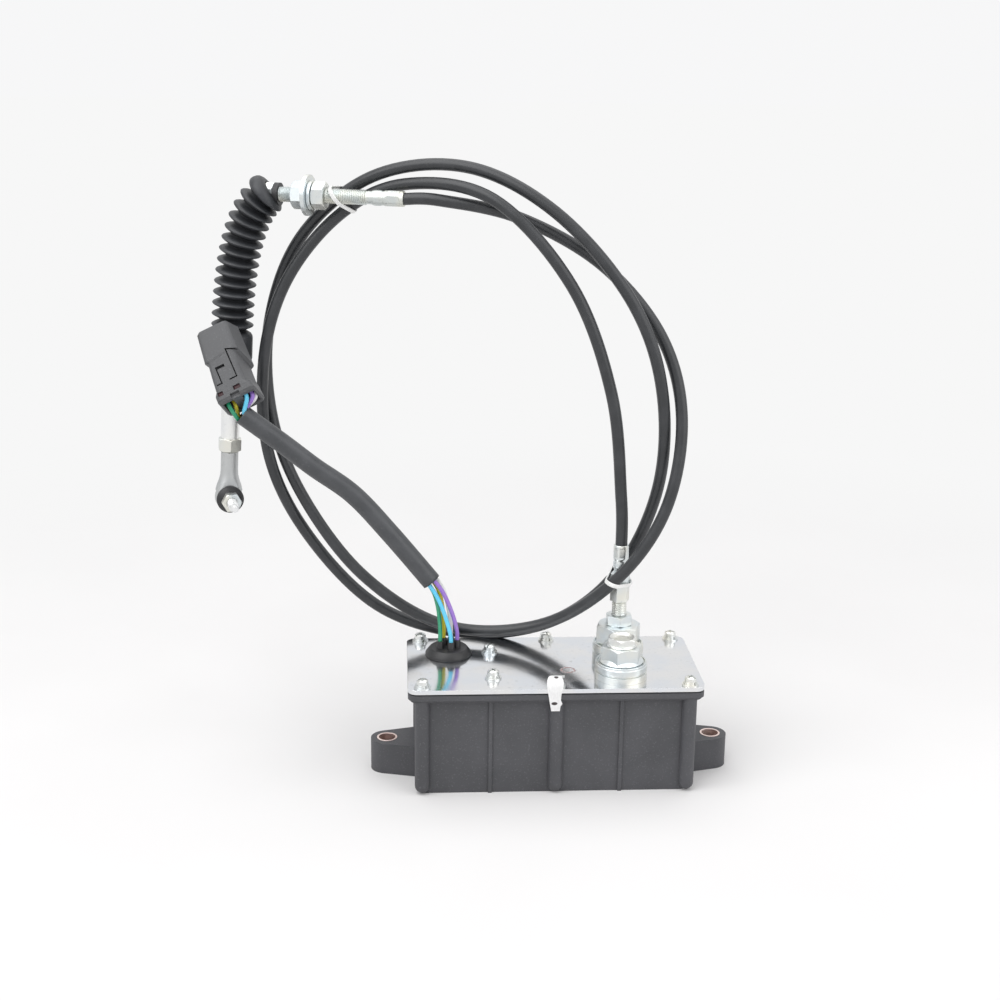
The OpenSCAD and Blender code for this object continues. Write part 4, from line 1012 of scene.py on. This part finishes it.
def plug_shell():
    """The plug's outline, drawn out from its wire end to its mouth. Its front leans in on the right."""
    # Each station is (z, left, right, thickness, lean of the front on the right)
    stations = [
        (PLUG_LOW, -10.0, 9.8, 14.8, 0.4), (-1.8, -11.0, 10.8, 16.2, 0.4),
        (3.4, -10.9, 10.4, 16.4, 0.8), (5.6, -9.5, 9.9, 16.4, 2.4), (14, -8.7, 10.2, 16.4, 3.2),
        (19.6, -8.0, 10.6, 16.4, 3.2), (21.8, -7.9, 10.6, 16.4, 3.0), (22.5, -9.3, 12.3, 16.4, 2.6),
        (38.6, -7.3, 12.4, 16.4, 2.0), (39.8, -6.2, 11.4, 15.4, 2.0),
    ]
    step_low, step_high, half = 21, 23, 8.2 * MM
    step_rise, step_slant, end_slant = 1.8 * MM, 0.6, 0.28
    form = bmesh.new()
    bmesh.ops.create_grid(form, x_segments=1, y_segments=1, size=0.5)
    bmesh.ops.bevel(
        form, geom=form.verts[:], offset=0.12, segments=4, profile=0.5, affect="VERTICES", material=-1
    )
    end = form.faces[:]
    section = {}
    for i, station in enumerate(stations):
        if i:
            made = bmesh.ops.extrude_face_region(form, geom=end)["geom"]
            end = [item for item in made if isinstance(item, bmesh.types.BMFace)]
        for corner in end[0].verts:
            section[corner] = station
    for corner, (z, left, right, thick, lean) in section.items():
        x, y = corner.co.xy
        corner.co = (((left + right) / 2 + (right - left) * x) * MM, thick * y * MM, z * MM)
        front = max(-corner.co.y / half, 0)
        if x > 0:
            corner.co.x -= lean * front * MM
            if step_low < z < step_high:
                corner.co.z += step_rise - step_slant * (corner.co.y + half)
        if z < 0:
            corner.co.z -= end_slant * corner.co.y
    return form


def plug_cuts():
    """Openings for the mating half and the wires, a notch, windows, and the slots round both latches."""
    before_front, slot_floor = -12, -5.6
    cuts = [block((-5.6, -6.2, 27), (10, 6.2, 50)), block((-3.0, before_front, -8), (2.2, -6.4, 1.4))]
    for low, high in ((-9.0, -2.9), (2.2, 8.9)):
        cuts.append(block((low, -5.2, -8), (high, 5.2, 3)))
    for low, high in plug_windows:
        cuts.append(block((low, before_front, 2.4), (high, -6.6, 4.7)))
    slots = [
        ((-4.85, 16.4), (0.4, 18)), ((-4.8, 8.3), (-4.1, 16.5)), ((-7.4, 8.2), (-4.05, 8.9)),
        ((3.9, 8.5), (4.6, 25.3)), ((0, 8.4), (4.65, 9.1)),
    ]
    for (x0, z0), (x1, z1) in slots:
        cuts.append(block((x0, before_front, z0), (x1, slot_floor, z1)))
    slant = turned((3.9, 0, 25.4), ("Y", 22))
    return cuts + [gathered((block((0.05, before_front, -0.65), (6.4, slot_floor - 0.05, 0.05)), slant))]


def make_plug():
    form = plug_shell()
    for cutter in plug_cuts():
        form = carved(form, cutter)
    tongue = block((-4.2, -2.8, 26.5), (7.8, 2.8, 38.4))
    whole = gathered((form, PLUG), (tongue, PLUG))
    piece = add_piece("plug", whole, plug_grey, "base", ["connector_body"], "connector_plastic", sharp=30)
    flat_faces = piece.modifiers.new("flat_faces", "WEIGHTED_NORMAL")
    flat_faces.keep_sharp = True
    return piece


def make_retainer():
    """The plug's maroon retainer, which shows in its two windows."""
    bars = [(block((low - 0.1, -7.2, 2.3), (high + 0.1, -6.4, 4.8)), PLUG) for low, high in plug_windows]
    form = softened(gathered(*bars), 0.15, 2)
    return add_piece("retainer", form, retainer_maroon, "base", ["connector_retainer"], "retainer_plastic")


plug = make_plug()
retainer = make_retainer()
for name, skin in wire_skins.items():
    route = wire_route(wire_places[name])
    lead = line_through("lead_" + name, route, WIRE_ACROSS, steps=5, round_steps=3)
    show(lead, skin, "base", ["wire_" + name], "wire_" + name)
    length = sum((after - before).length for before, after in zip(route, route[1:]))
    tuple(route[0] * MM)
    length * MM


# Studio
def seen_rays(at):
    """One for rays from the camera, by shiny pieces and through clear ones, and nought for the rest."""
    kinds = ("Is Camera Ray", "Is Glossy Ray", "Is Transmission Ray")
    camera, shiny, through = (at.node("LightPath", {}, out=kind) for kind in kinds)
    return band(camera + shiny + through, 0, 1)


def floor_paper():
    """Pale paper that fades into an even glow away from the part."""
    made, at = finish("floor_paper", Roughness=0.9)
    cloud = band(clouds(at, 6, 2), 0.3, 0.7)
    feed(made, Base_Color=tinted(cloud, (0.82, 0.812, 0.812), (0.84, 0.832, 0.832)))
    tree = made.node_tree
    away = at.node("VectorMath", {0: at}, out="Value", operation="LENGTH")
    share = band(away, 0.2, 0.75) * seen_rays(at)
    near = Wire(tree, tree.nodes["Principled BSDF"].outputs[0])
    glow = at.node("Emission", {"Color": (0.93, 0.93, 0.93, 1), "Strength": 1.0})
    both = at.node("MixShader", {0: share, 1: near, 2: glow})
    tree.links.new(both.socket, tree.nodes["Material Output"].inputs["Surface"])
    return made


def studio():
    """Floor, sky and three lamps, in metres and watts."""
    floor_form = bmesh.new()
    bmesh.ops.create_grid(floor_form, x_segments=2, y_segments=2, size=8)
    floor_mesh = bpy.data.meshes.new("floor")
    floor_form.to_mesh(floor_mesh)
    floor_form.free()
    floor = bpy.data.objects.new("floor", floor_mesh)
    scene.collection.objects.link(floor)
    floor.data.materials.append(floor_paper())
    world = bpy.data.worlds.new("studio")
    scene.world = world
    world.use_nodes = True
    sky = world.node_tree
    sky.nodes["Background"].inputs["Color"].default_value = (0.93, 0.93, 0.935, 1)
    strength = 0.45 + seen_rays(Wire(sky)) * 0.55
    sky.links.new(strength.socket, sky.nodes["Background"].inputs["Strength"])
    for name, at, aim, size, power in (
        ("key", (-1.0, -0.8, 1.6), (-0.05, 0.0, 0.12), 1.8, 25),
        ("fill", (1.3, -0.9, 1.0), (0, 0, 0.1), 1.8, 13),
        ("top", (0.0, 0.4, 1.8), (-0.03, 0.02, 0.1), 1.8, 12),
    ):
        lamp = bpy.data.lights.new(name, "AREA")
        lamp.size = size
        lamp.energy = power
        holder = bpy.data.objects.new(name, lamp)
        way = Vector(aim) - Vector(at)
        holder.matrix_world = Matrix.Translation(at) @ way.to_track_quat("-Z", "Y").to_matrix().to_4x4()
        scene.collection.objects.link(holder)


studio()
